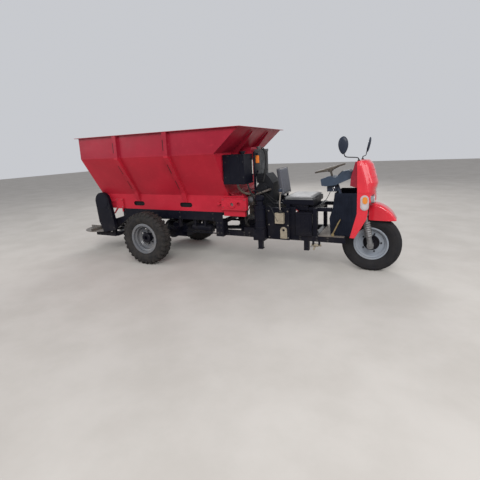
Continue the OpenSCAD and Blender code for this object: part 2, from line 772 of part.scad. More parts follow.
module bearing_boxes() {
    inner = skirt_y + seat_gap;
    color(red) from_axle() both_sides() {
        difference() {
            union() {
                box([front_shaft_x - 170, inner, shaft_z - 70], [front_shaft_x + 210, skirt_y + 70, shaft_z + 90]);
                box([front_shaft_x - 145, inner, shaft_z - 170], [front_shaft_x + 180, skirt_y + 50, shaft_z - 69]);
                box([front_shaft_x - 170, inner, shaft_z - 80], [front_shaft_x + 210, skirt_y + 85, shaft_z - 70]);
                box([front_shaft_x - 170, inner, shaft_z + 80], [front_shaft_x + 210, skirt_y + 76, shaft_z + 90]);
                // The bearing's boss and the tensioner's block behind it
                translate([front_shaft_x, inner, shaft_z]) rotate([-90, 0, 0]) cylinder(h = 88, r = 48, $fn = round_n);
                box([front_shaft_x - 80, inner, shaft_z - 22], [front_shaft_x, skirt_y + 80, shaft_z + 22]);
                translate([front_shaft_x - 235, inner, shaft_z]) rotate([-90, 0, 0])
                    cylinder(h = 40, r = 22, $fn = 24);
                box([front_shaft_x - 235, inner, shaft_z - 10], [front_shaft_x - 165, skirt_y + 30, shaft_z + 10]);
            }
            translate([front_shaft_x, 0, shaft_z]) rotate([-90, 0, 0])
                cylinder(h = 2 * skirt_y, r = shaft_r + fit, $fn = round_n);
            // The slot in which the tensioner slides
            translate([front_shaft_x + 92, skirt_y + 40, shaft_z + 3]) rotate([-90, 0, 0])
                cylinder(h = 60, r = 27, $fn = round_n);
        }
        difference() {
            union() {
                box([-rear_shaft_x - 55, inner, shaft_z - 100], [-rear_shaft_x + 140, skirt_y + 20, shaft_z + 100]);
                box([-rear_shaft_x + 139, inner, shaft_z - 20], [-790, skirt_y + 20, shaft_z + 25]);
                // The plate ahead of it, on two legs
                side_plate(20, skirt_y + 10 + seat_gap) polygon([[-803, rail_top_z], [-651, rail_top_z],
                    [-651, shaft_z + 34], [-803, shaft_z + 34]]);
                side_plate(16, skirt_y + 10 + seat_gap) polygon([[-803, rail_top_z + 10], [-770, rail_top_z + 10],
                    [-866, rail_top_z - 93], [-882, rail_top_z - 85]]);
                box([-690, inner + 2, rail_top_z - 55], [-672, skirt_y + 18, rail_top_z + 10]);
            }
            translate([-rear_shaft_x, 0, shaft_z]) rotate([-90, 0, 0])
                cylinder(h = 2 * skirt_y, r = shaft_r + fit, $fn = round_n);
        }
    }
}

guard_r = 150;

module chain_guard() {
    color(black) from_axle() difference() {
        translate([0, -guard_y + 30, 0]) {
            side_plate(60) {
                translate([-rear_shaft_x + 25, shaft_z - 10]) circle(r = guard_r, $fn = fine_n);
                polygon([[-1195, shaft_z - 12], [-1160, 563], [-1080, 378], [-806, 436], [-850, 720],
                    [-895, shaft_z - 8]]);
            }
            // The raised disc over the sprocket, on the outer face
            translate([0, -32, 0]) side_plate(8) translate([-rear_shaft_x + 25, shaft_z - 10])
                circle(r = guard_r - 22, $fn = fine_n);
        }
        translate([-rear_shaft_x, 0, shaft_z]) rotate([90, 0, 0])
            cylinder(h = guard_y - 29.5, r = shaft_r + fit, $fn = round_n);
        translate([-drive_gear_x, 0, drive_z]) rotate([90, 0, 0])
            cylinder(h = guard_y - 9.5, r = 18 + fit, $fn = round_n);
    }
}

// Engine and what is round it

engine_y = 190;
bed_z = low_rail_top_z;

module engine_bed() {
    color(black) from_axle() both_sides()
        box([1480, 200, bed_z], [2020, low_rail_y, bed_z + 60]);
}

engine_z = bed_z + 60;
block_x1 = 1700;
block_x2 = 1980;
block_top_z = engine_z + 330;
// Height of the crankshaft
crank_z = engine_z + 200;
head_rear_x = 1480;
// Height of the radiator's foot, on the housing over the block
radiator_z = 1310;

module engine_block() {
    color(black) from_axle() {
        box([block_x1, -engine_y, engine_z], [block_x2, engine_y, block_top_z]);
        box([block_x1 - 10, -engine_y - 15, engine_z], [block_x2 + 10, engine_y + 15, engine_z + 20]);
        translate([1840, 0, crank_z]) rotate([90, 0, 0])
            cylinder(h = 2 * engine_y + 40, r = 120, center = true, $fn = round_n);
        // The cam cover above the crankshaft and the ribs over the block's right side
        translate([1910, 0, block_top_z - 70]) rotate([90, 0, 0])
            cylinder(h = 2 * engine_y + 24, r = 48, center = true, $fn = round_n);
        for (x = [1715 : 28 : 1771]) box([x, -engine_y - 8, engine_z + 60], [x + 8, -engine_y + 1, block_top_z - 12]);
    }
}

casting_x = 1595;
casting_y = -285;
casting_z = 890;

// The cylinder head at the rear of the block, with its inlet casting on the right
module engine_head() {
    // The pipe's bends from the casting to the engine's top
    pipe = [[casting_x, casting_y, casting_z + 130], [1690, -270, casting_z + 152], [1812, -215, casting_z + 196],
        [1820, -150 - seat_gap, casting_z + 198]];
    color("#8d9094") from_axle() {
        box([head_rear_x, -120, engine_z + 120], [block_x1 - seat_gap, 120, block_top_z]);
        box([head_rear_x - 20, -100, engine_z + 140], [head_rear_x + 1, 100, block_top_z - 20]);
        for (z = [engine_z + 150 : 30 : engine_z + 270])
            box([head_rear_x + 20, -128, z], [block_x1 - 12, 128, z + 8]);
        translate([casting_x, casting_y, casting_z]) {
            translate([-50, -40, 20]) cube([100, 80, 98]);
            translate([-58, -48, 52]) cube([116, 96, 14]);
            cylinder(h = 21, r = 30, $fn = round_n);
            translate([0, 0, 117]) cylinder(h = 26, r = 34, $fn = round_n);
            translate([0, 39, 55]) rotate([-90, 0, 0]) cylinder(h = 180, r = 30, $fn = round_n);
        }
        box([1560, -110, block_top_z - 1], [1628, -60, casting_z + 60]);
        // The rod that runs down from it to a lever
        bar([casting_x - 20, -300, casting_z + 22], [1490, -300, 703], 5, 16);
        bar([1490, -304, 703], [1490, -110, 715], 8);
        for (i = [0 : len(pipe) - 2]) bar(pipe[i], pipe[i + 1], 17);
        for (i = [1 : len(pipe) - 2]) translate(pipe[i]) sphere(r = 18, $fn = 24);
    }
}

// The housing over the block, which carries the radiator
module engine_top() {
    deck = radiator_z - seat_gap;
    color(black) from_axle() {
        box([1645, -150, block_top_z + seat_gap], [1860, 150, 1180]);
        side_plate(300) polygon([[1620, 1179], [1860, 1179], [1760, deck], [1605, deck]]);
        // The round case on its right side, with its cover's ring
        translate([1712, -149, 1105]) rotate([90, 0, 0]) {
            cylinder(h = 60, r = 80, $fn = round_n);
            cylinder(h = 68, r = 66, $fn = round_n);
            translate([0, 0, 67]) cylinder(h = 8, r = 20, $fn = 24);
        }
        for (z = [1204, 1232, 1260]) box([1612, -156, z], [1740, 156, z + 10]);
    }
}

module flywheel() {
    color(black) from_axle() translate([1840, engine_y + 20 + seat_gap, crank_z]) rotate([-90, 0, 0]) {
        difference() {
            cylinder(h = 70, r = 198, $fn = fine_n);
            // The web is thinner between the rim and the pulley
            translate([0, 0, 45]) difference() {
                cylinder(h = 30, r = 168, $fn = fine_n);
                translate([0, 0, -1]) cylinder(h = 32, r = 100, $fn = round_n);
            }
        }
        difference() {
            cylinder(h = 120, r = 80, $fn = round_n);
            for (h = [78, 98]) translate([0, 0, h]) difference() {
                cylinder(h = 12, r = 90, $fn = round_n);
                translate([0, 0, -1]) cylinder(h = 14, r = 68, $fn = round_n);
            }
        }
    }
}

fin_count = 12;
fin_pitch = 13;

// The radiator's core between two tanks, finned on its front face, with the filler's cap on top
module radiator() {
    front = 1680;
    top = radiator_z + 310;
    color(silver) from_axle() {
        box([1615, -135, radiator_z + 24], [front - 8, 135, top + 1]);
        for (i = [0 : fin_count - 1])
            box([front - 9, -130, top - 12 - i * fin_pitch], [front, 130, top - 7 - i * fin_pitch]);
        box([front - 9, -120, radiator_z + 60], [front + 4, 120, radiator_z + 140]);
        both_sides() box([1610, 134, radiator_z + 20], [front + 2, 155, top + 1]);
        box([1605, -155, radiator_z], [front, 155, radiator_z + 25]);
        difference() {
            box([1598, -160, top], [front + 8, 160, top + 34]);
            translate([1640, 0, top + 34]) rotate([90, 0, 0]) rotate([0, 0, 45])
                cube([6, 6, 400], center = true);
        }
        translate([1645, -110, top + 33]) cylinder(h = 22, r = 24, $fn = round_n);
        translate([1645, -110, top + 54]) cylinder(h = 16, r = 33, $fn = round_n);
    }
}

exhaust_x = 1600;
exhaust_y = 350;

// The exhaust pipe on the left, with its silencer and tail pipe
module exhaust() {
    silencer_z = engine_z + 200;
    color("#3a3431") from_axle() {
        bar([exhaust_x, 128 + seat_gap, engine_z + 250], [exhaust_x, exhaust_y, engine_z + 250], 24);
        translate([exhaust_x, exhaust_y, silencer_z]) {
            cylinder(h = 330, r = 60, $fn = round_n);
            translate([0, 0, -10]) cylinder(h = 12, r = 65, $fn = round_n);
            translate([0, 0, 320]) cylinder(h = 12, r = 65, $fn = round_n);
            translate([0, 0, 329]) cylinder(h = 160, r = 20, $fn = 24);
        }
    }
}

post_x = 1765;
post_y = low_rail_y + 76;

module air_cleaner() {
    color(black) from_axle() translate([post_x, -post_y, 0]) {
        translate([0, 0, 580]) cylinder(h = 325, r = 77, $fn = round_n);
        for (z = [600, 700, 862]) translate([0, 0, z]) cylinder(h = 12, r = z > 860 ? 90 : 82, $fn = round_n);
        // The inlet's neck and its cap
        translate([0, 0, 904]) cylinder(h = 62, r = 46, $fn = round_n);
        translate([0, 0, 965]) cylinder(h = 22, r1 = 50, r2 = 66, $fn = round_n);
        translate([0, 0, 986]) cylinder(h = 44, r = 66, $fn = round_n);
        translate([0, 0, 1029]) cylinder(h = 16, r1 = 66, r2 = 40, $fn = round_n);
        translate([-82, -70, 430]) cube([164, 145.7, 151]);
        translate([-76, -74, 450]) cube([152, 5, 116]);
        translate([-30, -30, 300]) cube([60, 60, 131]);
        translate([-38, -38, 300]) cube([76, 76, 10]);
    }
}

tank_x = hopper_front + 20;
tank_front_x = hopper_front + 330;

// The tank hung on the hopper's front wall, with its cap and its sight tube
module oil_tank() {
    color(black) from_axle() {
        box([tank_x, -600, 1206], [tank_front_x, -320, 1600]);
        for (y = [-520, -380]) box([hopper_front + seat_gap, y - 20, 1300], [tank_x + 1, y + 20, 1560]);
        // Seams round the tank and two straps
        for (z = [1212, 1586]) box([tank_x - 5, -605, z], [tank_front_x + 5, -315, z + 6]);
        for (x = [tank_x + 70, tank_x + 220]) box([x, -604, 1218], [x + 24, -316, 1580]);
        translate([tank_front_x - 80, -460, 1599]) cylinder(h = 14, r = 28, $fn = round_n);
        translate([tank_front_x - 80, -460, 1612]) cylinder(h = 26, r = 40, $fn = round_n);
        for (z = [1315, 1530]) {
            translate([tank_front_x - 1, -345, z]) rotate([0, 90, 0]) cylinder(h = 18, r = 9, $fn = 24);
        }
        translate([tank_front_x + 10, -345, 1315]) cylinder(h = 215, r = 5.5, $fn = 24);
    }
}

reservoir_y = 330;

// The air reservoir under the right rail, along the machine
module air_reservoir() {
    color(black) from_axle() {
        translate([620, -reservoir_y, 520]) rotate([0, 90, 0]) {
            cylinder(h = 320, r = 60, $fn = round_n);
            translate([0, 0, -12]) cylinder(h = 12.5, r1 = 44, r2 = 60, $fn = round_n);
            translate([0, 0, 319.5]) cylinder(h = 12.5, r1 = 60, r2 = 44, $fn = round_n);
            for (x = [60, 230]) translate([0, 0, x]) cylinder(h = 30, r = 63, $fn = round_n);
        }
        for (x = [680, 850])
            box([x, -reservoir_y - 90, 560], [x + 30, -reservoir_y - 15, rail_bottom_z - seat_gap]);
        translate([780, -reservoir_y, 578]) cylinder(h = 24, r = 12, $fn = 6);
    }
}

cover_x = 1865;
cover_y = low_rail_y + 60;
cover_front_x = cover_x + 305;
battery_x = 2249;
bracket_y = cover_y + 56;
bracket_top_z = 812;

// The box on the outside of the right rail, and the sheet that closes the gap to the battery box
module side_cover() {
    color(black) from_axle() {
        box([cover_x, -cover_y, 440], [cover_front_x, -low_rail_y - seat_gap, 866]);
        box([cover_x - 6, -cover_y - 6, 856], [cover_front_x + 6, -low_rail_y - seat_gap, 872]);
        box([cover_front_x - 1, -low_rail_y - 6, bed_z + seat_gap], [battery_x - seat_gap, -low_rail_y, 880]);
        box([battery_x - 22, -low_rail_y - 14, bed_z + seat_gap], [battery_x - 14, -low_rail_y - 5, 880]);
    }
}

// The gear lever's bracket and a shackle plate, both on the side cover
module brackets() {
    face = -cover_y - seat_gap;
    color("#8a8070") from_axle() {
        difference() {
            box([1990, -bracket_y, 672], [2108, face, bracket_top_z]);
            box([1994, -bracket_y + 4, 660], [2104, face - 4, bracket_top_z - 4]);
        }
        difference() {
            union() {
                box([2046, face - 10, 462], [2138, face, 572]);
                translate([2092, face, 572]) rotate([90, 0, 0]) cylinder(h = 10, r = 46, $fn = round_n);
            }
            translate([2092, face + 1, 574]) rotate([90, 0, 0]) cylinder(h = 12, r = 17, $fn = 24);
        }
        box([2046, face - 16, 462], [2138, face, 474]);
    }
}

module battery_box() {
    color(black) from_axle() {
        box([battery_x, -low_rail_y - 30, bed_z + seat_gap], [2460, 0, 800]);
        box([battery_x + 1, -low_rail_y - 36, 799], [2466, 6, 815]);
        for (x = [2290, 2350, 2410]) box([x, -low_rail_y - 34, 560], [x + 20, -low_rail_y - 29, 760]);
        box([battery_x + 10, -low_rail_y - 36, 530], [2450, -low_rail_y - 29, 542]);
    }
}

module gear_lever() {
    lever_y = -cover_y - 26;
    color(black) from_axle() {
        translate([2060, lever_y, bracket_top_z + seat_gap]) cylinder(h = 10, r = 20, $fn = 24);
        bar([2060, lever_y, bracket_top_z + 5], [2052, lever_y, 930], 8);
        translate([2052, lever_y, 930]) sphere(r = 9, $fn = 24);
        bar([2052, lever_y, 930], [2066, lever_y, 1080], 8);
        translate([2066, lever_y, 1070]) cylinder(h = 40, r1 = 15, r2 = 26, $fn = 32);
        translate([2066, lever_y, 1109]) cylinder(h = 24, r1 = 26, r2 = 18, $fn = 32);
    }
}

seat_x1 = 2060;
seat_x2 = 2460;
seat_z = 942;
seat_t = 58;
seat_y = seat_w / 2;
// The black tray round the cushion: its wall and how high it stands over the cushion's underside
tray_t = 6;
tray_lip = 30;
back_y = 190;
back_x = 2025;
back_lean = 8;

module seat_frame() {
    tray = seat_gap + tray_t;
    foot_x = seat_x2 + 10;
    color(black) from_axle() {
        difference() {
            box([seat_x1 - tray, -seat_y - tray, seat_z - 36], [seat_x2 + tray, seat_y + tray, seat_z + tray_lip]);
            box([seat_x1 - seat_gap, -seat_y - seat_gap, seat_z - seat_gap],
                [seat_x2 + seat_gap, seat_y + seat_gap, seat_z + tray_lip + 1]);
        }
        both_sides() {
            box([foot_x, 300, bed_z], [foot_x + 50, 350, 870]);
            box([2110, 300, bed_z], [2160, 350, seat_z - 35]);
            box([2400, 240, 820], [2697 + front_shift, 285, 870]);
            // The irons that carry the backrest
            box([1962, 140, seat_z - 36], [seat_x1 - tray + 1, 162, seat_z - 12]);
            box([1962, 140, seat_z - 36], [1990, 162, 1003.7]);
        }
        box([2110, -350, seat_z - 76], [2160, 350, seat_z - 35]);
        box([foot_x, -350, 820], [foot_x + 50, 350, 870]);
        box([2400, -235, 820], [2450, 235, seat_z - 35]);
    }
}

module seat_cushion() {
    color("#8f9498") from_axle() box([seat_x1, -seat_y, seat_z], [seat_x2, seat_y, seat_z + seat_t]);
}

module seat_back() {
    color(grey) from_axle() translate([back_x, 0, 1011]) rotate([0, -back_lean, 0])
        box([-50, -back_y, 0], [0, back_y, 380]);
}

plate_t = 6;

module footplate() {
    color("#6b5a48") from_axle() {
        box([2535, -low_rail_y, low_rail_top_z], [2800 + front_shift, low_rail_y, low_rail_top_z + plate_t]);
        both_sides() box([2700, fairing_w / 2 - 15, low_rail_top_z], [2864 + front_shift, low_rail_y,
            low_rail_top_z + plate_t]);
        // The pressed-up field where the feet stand
        box([2545, -225, low_rail_top_z + 5], [2675, 225, low_rail_top_z + 8]);
    }
}

shield_y = fairing_w / 2 - fairing_t - seat_gap;

module leg_shield() {
    bottom = low_rail_top_z + 6 + seat_gap;
    plate = 5;
    profile = [[2738, 1060], [2715, 873], [2674, 737], [2690, bottom], [2970, bottom], [3015, 800], [3015, 1060]];
    color(black) from_front() {
        both_sides() side_plate(plate, shield_y - plate / 2) polygon(profile);
        difference() {
            side_plate(2 * shield_y - 1) polygon([[2738, 1060], [2715, 873], [2674, 737], [2690, bottom],
                [2690 + plate, bottom], [2674 + plate, 737], [2715 + plate, 873], [2738 + plate, 1060]]);
            console_stem(stem_tube_r + 3);
        }
    }
}

module pedals() {
    color("#a98850") from_front() for (y = [-330, 330]) {
        box([2700, y - 12, low_rail_top_z + 6 + seat_gap], [2735, y + 12, low_rail_top_z + 36]);
        bar([2717, y, low_rail_top_z + 30], [2795, y, 700], 9);
        translate([2795, y, 700]) rotate([0, 30, 0]) box([-6, -28, -35], [6, 28, 35]);
    }
}

head_x = wheelbase - 75;
head_z = 760;
stem_r = 22;
head_len = 190;

neck_x = 2745;
neck_z = 930;

// What stands on the steering axis, from the fork's crown up
module on_steering_axis() {
    from_axle() translate([head_x, 0, head_z]) rotate([0, -rake, 0]) children();
}

module neck() {
    color(black) {
        on_steering_axis() difference() {
            translate([0, 0, 60]) cylinder(h = head_len, r = 38, $fn = round_n);
            translate([0, 0, 59]) cylinder(h = head_len + 2, r = stem_r + fit, $fn = round_n);
        }
        from_front() {
            both_sides() box([neck_x, 236, low_rail_top_z + 6], [neck_x + 40, 276, neck_z]);
            box([neck_x, -276, neck_z], [neck_x + 40, 276, neck_z + 40]);
            difference() {
                box([neck_x + 20, -30, neck_z], [head_x - front_shift, 30, neck_z + 40]);
                bar([head_x - front_shift, 0, head_z], [head_x - front_shift - 500 * sin(rake), 0,
                    head_z + 500 * cos(rake)], 30, round_n);
            }
        }
    }
}

wheel_c = [2620, 0, 1360];
column_r = 14;
column_len = 190;

module on_column() {
    from_front() translate(wheel_c) rotate([0, -column_tilt, 0]) children();
}

stem_tube_r = 30;

// The tube that carries the console, from the neck's bridge up
module console_stem(r) {
    bar([neck_x + 20, 0, neck_z + 40 + 7.6], [2700, 0, 1160], r);
}

// The console's outline from the side and from above
console_side = [[2532, 1137], [2598, 1130], [2726, 1151], [2912, 1234], [2910, 1316], [2874, 1336],
    [2800, 1324], [2725, 1248], [2623, 1262], [2519, 1223]];
console_plan = [[2500, -120], [2700, -150], [2940, -110], [2940, 110], [2700, 150], [2500, 120]];

module console() {
    color(grey) difference() {
        from_front() {
            intersection() {
                side_plate(320) polygon(rounded(console_side, 12, 3));
                translate([0, 0, 1000]) linear_extrude(400) polygon(rounded(console_plan, 25, 4));
            }
            // The black box under it, and the instrument's round bezel
            box([2600, -90, 1058], [2720, 90, 1150]);
            console_stem(stem_tube_r);
        }
        on_column() translate([0, 0, -column_len - 20])
            cylinder(h = column_len + 20, r = column_r + fit, $fn = round_n);
    }
}

module steering_wheel() {
    color("#a58a66") on_column() {
        rotate_extrude($fn = fine_n) translate([steering_r - 13, 0]) circle(r = 13, $fn = 24);
        for (a = [90, 210, 330]) rotate([0, 0, a]) bar([20, 0, -30], [steering_r - 13, 0, 0], 8, 16);
        translate([0, 0, -45]) cylinder(h = 40, r = 34, $fn = round_n);
        translate([0, 0, -column_len]) cylinder(h = column_len - 20, r = column_r, $fn = round_n);
    }
}

// The fairing's sections: height, rear edge, edge of the front panel, front, half width
fairing_sections = [
    [1456, 2995, 3045, 3118, 250],
    [1400, 2996, 3060, 3165, 265],
    [1180, 3003, 3127, 3225, 285],
    [1080, 3006, 3140, 3200, 300],
    [950, 3005, 3150, 3208, 300]
];

head_lamp_z = 985;
head_lamp_r = 55;
head_lamp_y = 195;
// How square the front panel is from above
panel_power = 2.6;
slice = 0.5;

// A level cut of the fairing, made smaller by its wall where t is over 0
module fairing_cut(s, t) {
    back = s[1] - (t > 0 ? 60 : 0);
    hw = s[4] - t;
    translate([0, 0, -slice]) linear_extrude(slice) polygon(concat([[back, -hw], [s[2] - 20, -hw]],
        [for (u = [-1 : 0.2 : 1]) [s[2] - t + (s[3] - s[2]) * (1 - pow(abs(u), panel_power)), (hw - 25) * u]],
        [[s[2] - 20, hw], [back, hw]]));
}

module fairing_body(t, drop_top, drop_bottom) {
    for (i = [0 : len(fairing_sections) - 2]) hull() {
        translate([0, 0, fairing_sections[i][0] - (i == 0 ? drop_top : 0)]) fairing_cut(fairing_sections[i], t);
        translate([0, 0, fairing_sections[i + 1][0] - (i == len(fairing_sections) - 2 ? drop_bottom : 0)])
            fairing_cut(fairing_sections[i + 1], t);
    }
}

cowl_y = 249;

module fairing() {
    color(red) from_front() {
        difference() {
            fairing_body(0, 0, 0);
            fairing_body(fairing_t, fairing_t, 10);
            both_sides() translate([3100, head_lamp_y, head_lamp_z]) rotate([0, 90, 0])
                cylinder(h = 200, r = head_lamp_r + seat_gap, $fn = round_n);
        }
        both_sides() {
            side_plate(fairing_t, fairing_w / 2 - fairing_t / 2) polygon([[3006, 952], [3005, 808], [2922, 493],
                [2980, 490], [3060, 630], [3120, 744], [3150, 952]]);
            // The inner cowl, set in from the fairing's rear edge
            side_plate(4, cowl_y) polygon([[2975, 1451], [2924, 1262], [2914, 1150], [2998, 1126], [3036, 1140],
                [3036, 1451]]);
            box([3020, cowl_y, 1140], [3032, 292, 1150]);
        }
    }
}

side_lamp = [3095, 948];
side_lamp_r = 50;
side_lamp_half = 45;

module side_lamp_layer(r, h) {
    for (z = [-side_lamp_half, side_lamp_half]) translate([0, z, 0]) cylinder(h = h, r = r, $fn = round_n);
    translate([-r, -side_lamp_half, 0]) cube([2 * r, 2 * side_lamp_half, h]);
}

module lamps() {
    color("#e8e4dc") from_front() both_sides() {
        translate([side_lamp[0], fairing_w / 2 + seat_gap, side_lamp[1]]) rotate([-90, 0, 0]) {
            side_lamp_layer(side_lamp_r, 8);
            side_lamp_layer(side_lamp_r - 9, 16);
        }
        translate([3148, head_lamp_y, head_lamp_z]) rotate([0, 90, 0]) {
            cylinder(h = 44, r = head_lamp_r, $fn = round_n);
            translate([0, 0, 43]) cylinder(h = 10, r1 = head_lamp_r, r2 = head_lamp_r - 14, $fn = round_n);
        }
    }
}

// A mirror's egg-shaped outline, wider at its top, and its case with a raised back
module egg(inset) {
    translate([0, 43]) circle(r = 62 - inset, $fn = 48);
    translate([0, -63]) circle(r = 42 - inset, $fn = 48);
    polygon([[-60.9 + inset, 55], [-41.2 + inset, -58], [41.2 - inset, -58], [60.9 - inset, 55]]);
}

module mirror_case() {
    linear_extrude(20) egg(0);
    translate([0, 0, 19]) linear_extrude(9) egg(12);
}

// A mirror's foot on the fairing, and its arm in two lengths
module mirror_arm(side, elbow, end) {
    foot = [3010, side * 220, 1456];
    translate([foot[0], foot[1], foot[2] + seat_gap]) cylinder(h = 10, r = 14, $fn = 24);
    bar(foot + [0, 0, 4], foot + [0, 0, 39], 7, 16);
    translate(foot + [0, 0, 39]) sphere(r = 9, $fn = 16);
    bar(foot + [0, 0, 39], elbow, 7, 16);
    translate(elbow) sphere(r = 9, $fn = 16);
    bar(elbow, end, 7, 16);
}

module mirrors() {
    color(black) from_front() {
        mirror_arm(-1, [2885, -440, 1512], [2860, -449, 1580]);
        translate([2857, -440, 1654]) rotate([90, 0, 0]) {
            mirror_case();
        }
        mirror_arm(1, [3030, 420, 1500], [3040, 449, 1575]);
        translate([3066, 450, 1645]) rotate([0, 12, 0]) translate([-10, 0, 0]) rotate([90, 0, 90]) {
            mirror_case();
        }
    }
}

leg_y = fork_w / 2;
bellows = 7;
bellow_h = 28;
axle_drop = head_z - front_tyre_r;

module fork() {
    // The axle's place seen along the steering axis, below the head and ahead of it
    ax = (wheelbase - head_x) * cos(rake) - axle_drop * sin(rake);
    az = -(wheelbase - head_x) * sin(rake) - axle_drop * cos(rake);
    color("#5c5f63") {
        on_steering_axis() {
            // Stem and crown
            cylinder(h = head_len + 80, r = stem_r, $fn = round_n);
            translate([-45, -leg_y - 40, 0]) cube([90, 2 * leg_y + 80, 40]);
            both_sides() {
                translate([ax, leg_y, az]) cylinder(h = -az + 60, r = 24, $fn = round_n);
                translate([ax, leg_y, 59]) cylinder(h = 14, r = 18, $fn = 6);
                translate([ax, leg_y, az - 40]) cylinder(h = 160, r = 34, $fn = round_n);
                for (i = [0 : bellows - 1]) translate([ax, leg_y, az + 115 + i * bellow_h])
                    rotate_extrude($fn = 32) polygon([[0, 0], [41, 0], [50, bellow_h / 2], [41, bellow_h],
                        [0, bellow_h]]);
            }
        }
        // The axle, and the lugs on the legs that hold it
        from_axle() translate([wheelbase, 0, front_tyre_r]) rotate([90, 0, 0]) {
            cylinder(h = 2 * leg_y + 100, r = front_axle_r, center = true, $fn = round_n);
            for (s = [-1, 1]) translate([0, 0, s * leg_y]) {
                cylinder(h = 64, r = 42, center = true, $fn = round_n);
                translate([0, 0, s * 36]) cylinder(h = 14, r = 19, center = true, $fn = 6);
            }
        }
    }
}

// The front fender's sections: place along the machine, height of its top, half width
fender_sections = [
    [3134, 907, 109],
    [3190, 915, 125],
    [3300, 880, 135],
    [3400, 800, 130],
    [3452, 712, 110]
];
fender_bottom_z = 697;
fender_t = 6;

// A cut across the fender, made smaller by its wall where t is over 0
module fender_cut(s, t) {
    hw = s[2] - t;
    top = s[1] - t;
    bottom = fender_bottom_z - (t > 0 ? 12 : 0);
    shoulder = min(34, (top - bottom) / 2);
    cross_plate(slice, s[0]) polygon([[-hw, bottom], [hw, bottom], [hw, top - shoulder],
        [hw - shoulder * 0.3, top - shoulder * 0.3], [hw - shoulder, top], [-hw + shoulder, top],
        [-hw + shoulder * 0.3, top - shoulder * 0.3], [-hw, top - shoulder]]);
}

module fender_body(t, shift) {
    for (i = [0 : len(fender_sections) - 2]) hull() {
        translate([i == 0 ? -shift : 0, 0, 0]) fender_cut(fender_sections[i], t);
        translate([i == len(fender_sections) - 2 ? -shift : 0, 0, 0]) fender_cut(fender_sections[i + 1], t);
    }
}

module front_fender() {
    stay_top = 130;
    color(red) {
        from_front() difference() {
            fender_body(0, 0);
            fender_body(fender_t, fender_t);
        }
        on_steering_axis() {
            translate([45 + seat_gap, -40, 0]) cube([6, 80, stay_top]);
            translate([45 + seat_gap, -40, stay_top - 8]) cube([42, 80, 8]);
        }
    }
}

rail_right();
rail_left();
cross_members();
rear_axle();
leaf_springs();
drive_line();
spinner_frame();
hopper_side_right();
hopper_side_left();
hopper_front();
hopper_rear();
hopper_floor();
conveyor_cover();
conveyor_chain();
conveyor_shafts();
bearing_boxes();
chain_guard();
engine_bed();
engine_block();
engine_head();
engine_top();
flywheel();
radiator();
exhaust();
air_cleaner();
oil_tank();
air_reservoir();
side_cover();
brackets();
battery_box();
gear_lever();
seat_frame();
seat_cushion();
seat_back();
footplate();
leg_shield();
pedals();
neck();
console();
fairing();
lamps();
mirrors();
gate();
rear_tyre_right();
rear_rim_right();
rear_hub_right();
rear_tyre_left();
rear_rim_left();
rear_hub_left();
fork();
front_fender();
front_tyre();
front_rim();
front_hub();
steering_wheel();
spinner_right();
spinner_left();
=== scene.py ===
"""Looks of the three-wheeled manure spreader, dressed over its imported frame. All lengths are in metres."""
import json
import math

import bmesh
import bpy
from mathutils import Matrix, Vector


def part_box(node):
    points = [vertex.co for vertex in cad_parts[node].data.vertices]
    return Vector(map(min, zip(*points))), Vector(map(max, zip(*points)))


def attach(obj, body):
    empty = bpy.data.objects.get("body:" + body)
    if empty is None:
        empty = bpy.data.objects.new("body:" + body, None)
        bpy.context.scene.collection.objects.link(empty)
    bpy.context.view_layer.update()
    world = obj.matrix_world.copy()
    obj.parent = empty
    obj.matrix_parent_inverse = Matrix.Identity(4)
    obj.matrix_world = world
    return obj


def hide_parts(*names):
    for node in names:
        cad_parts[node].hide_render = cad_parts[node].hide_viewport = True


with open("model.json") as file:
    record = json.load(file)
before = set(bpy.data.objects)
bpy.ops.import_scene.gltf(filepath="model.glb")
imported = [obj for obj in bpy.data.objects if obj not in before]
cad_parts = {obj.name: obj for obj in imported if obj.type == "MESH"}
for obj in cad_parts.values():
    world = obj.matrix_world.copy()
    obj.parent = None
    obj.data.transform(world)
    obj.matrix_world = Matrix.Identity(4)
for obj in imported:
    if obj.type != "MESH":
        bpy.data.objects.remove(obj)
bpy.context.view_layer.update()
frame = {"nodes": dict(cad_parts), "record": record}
nodes = frame["nodes"]
scene = bpy.context.scene

# Place of the rear axle along X; the other places are counted from it
joint_places = {joint["name"]: joint.get("pos_m") for joint in frame["record"]["behaviour"]["joints"]}
AXLE_X = joint_places["rear_wheel_right_spin"][0]


def at(x, y, z):
    """A point counted from the rear axle, on the ground."""
    return Vector((x + AXLE_X, y, z))


def turn(degrees, axis):
    return Matrix.Rotation(math.radians(degrees), 4, axis)


# Camera and light

CAMERA_PLACE = at(3.4983, -4.66, 1.6624)
CAMERA_YAW = math.radians(-25.74)
CAMERA_PITCH = math.radians(10.66)
CAMERA_ROLL = math.radians(-2.69)
FOCAL_PX = 340.12
FRAME_PX = 480
SENSOR_MM = 36
CENTRE_UP_PX = 26.5


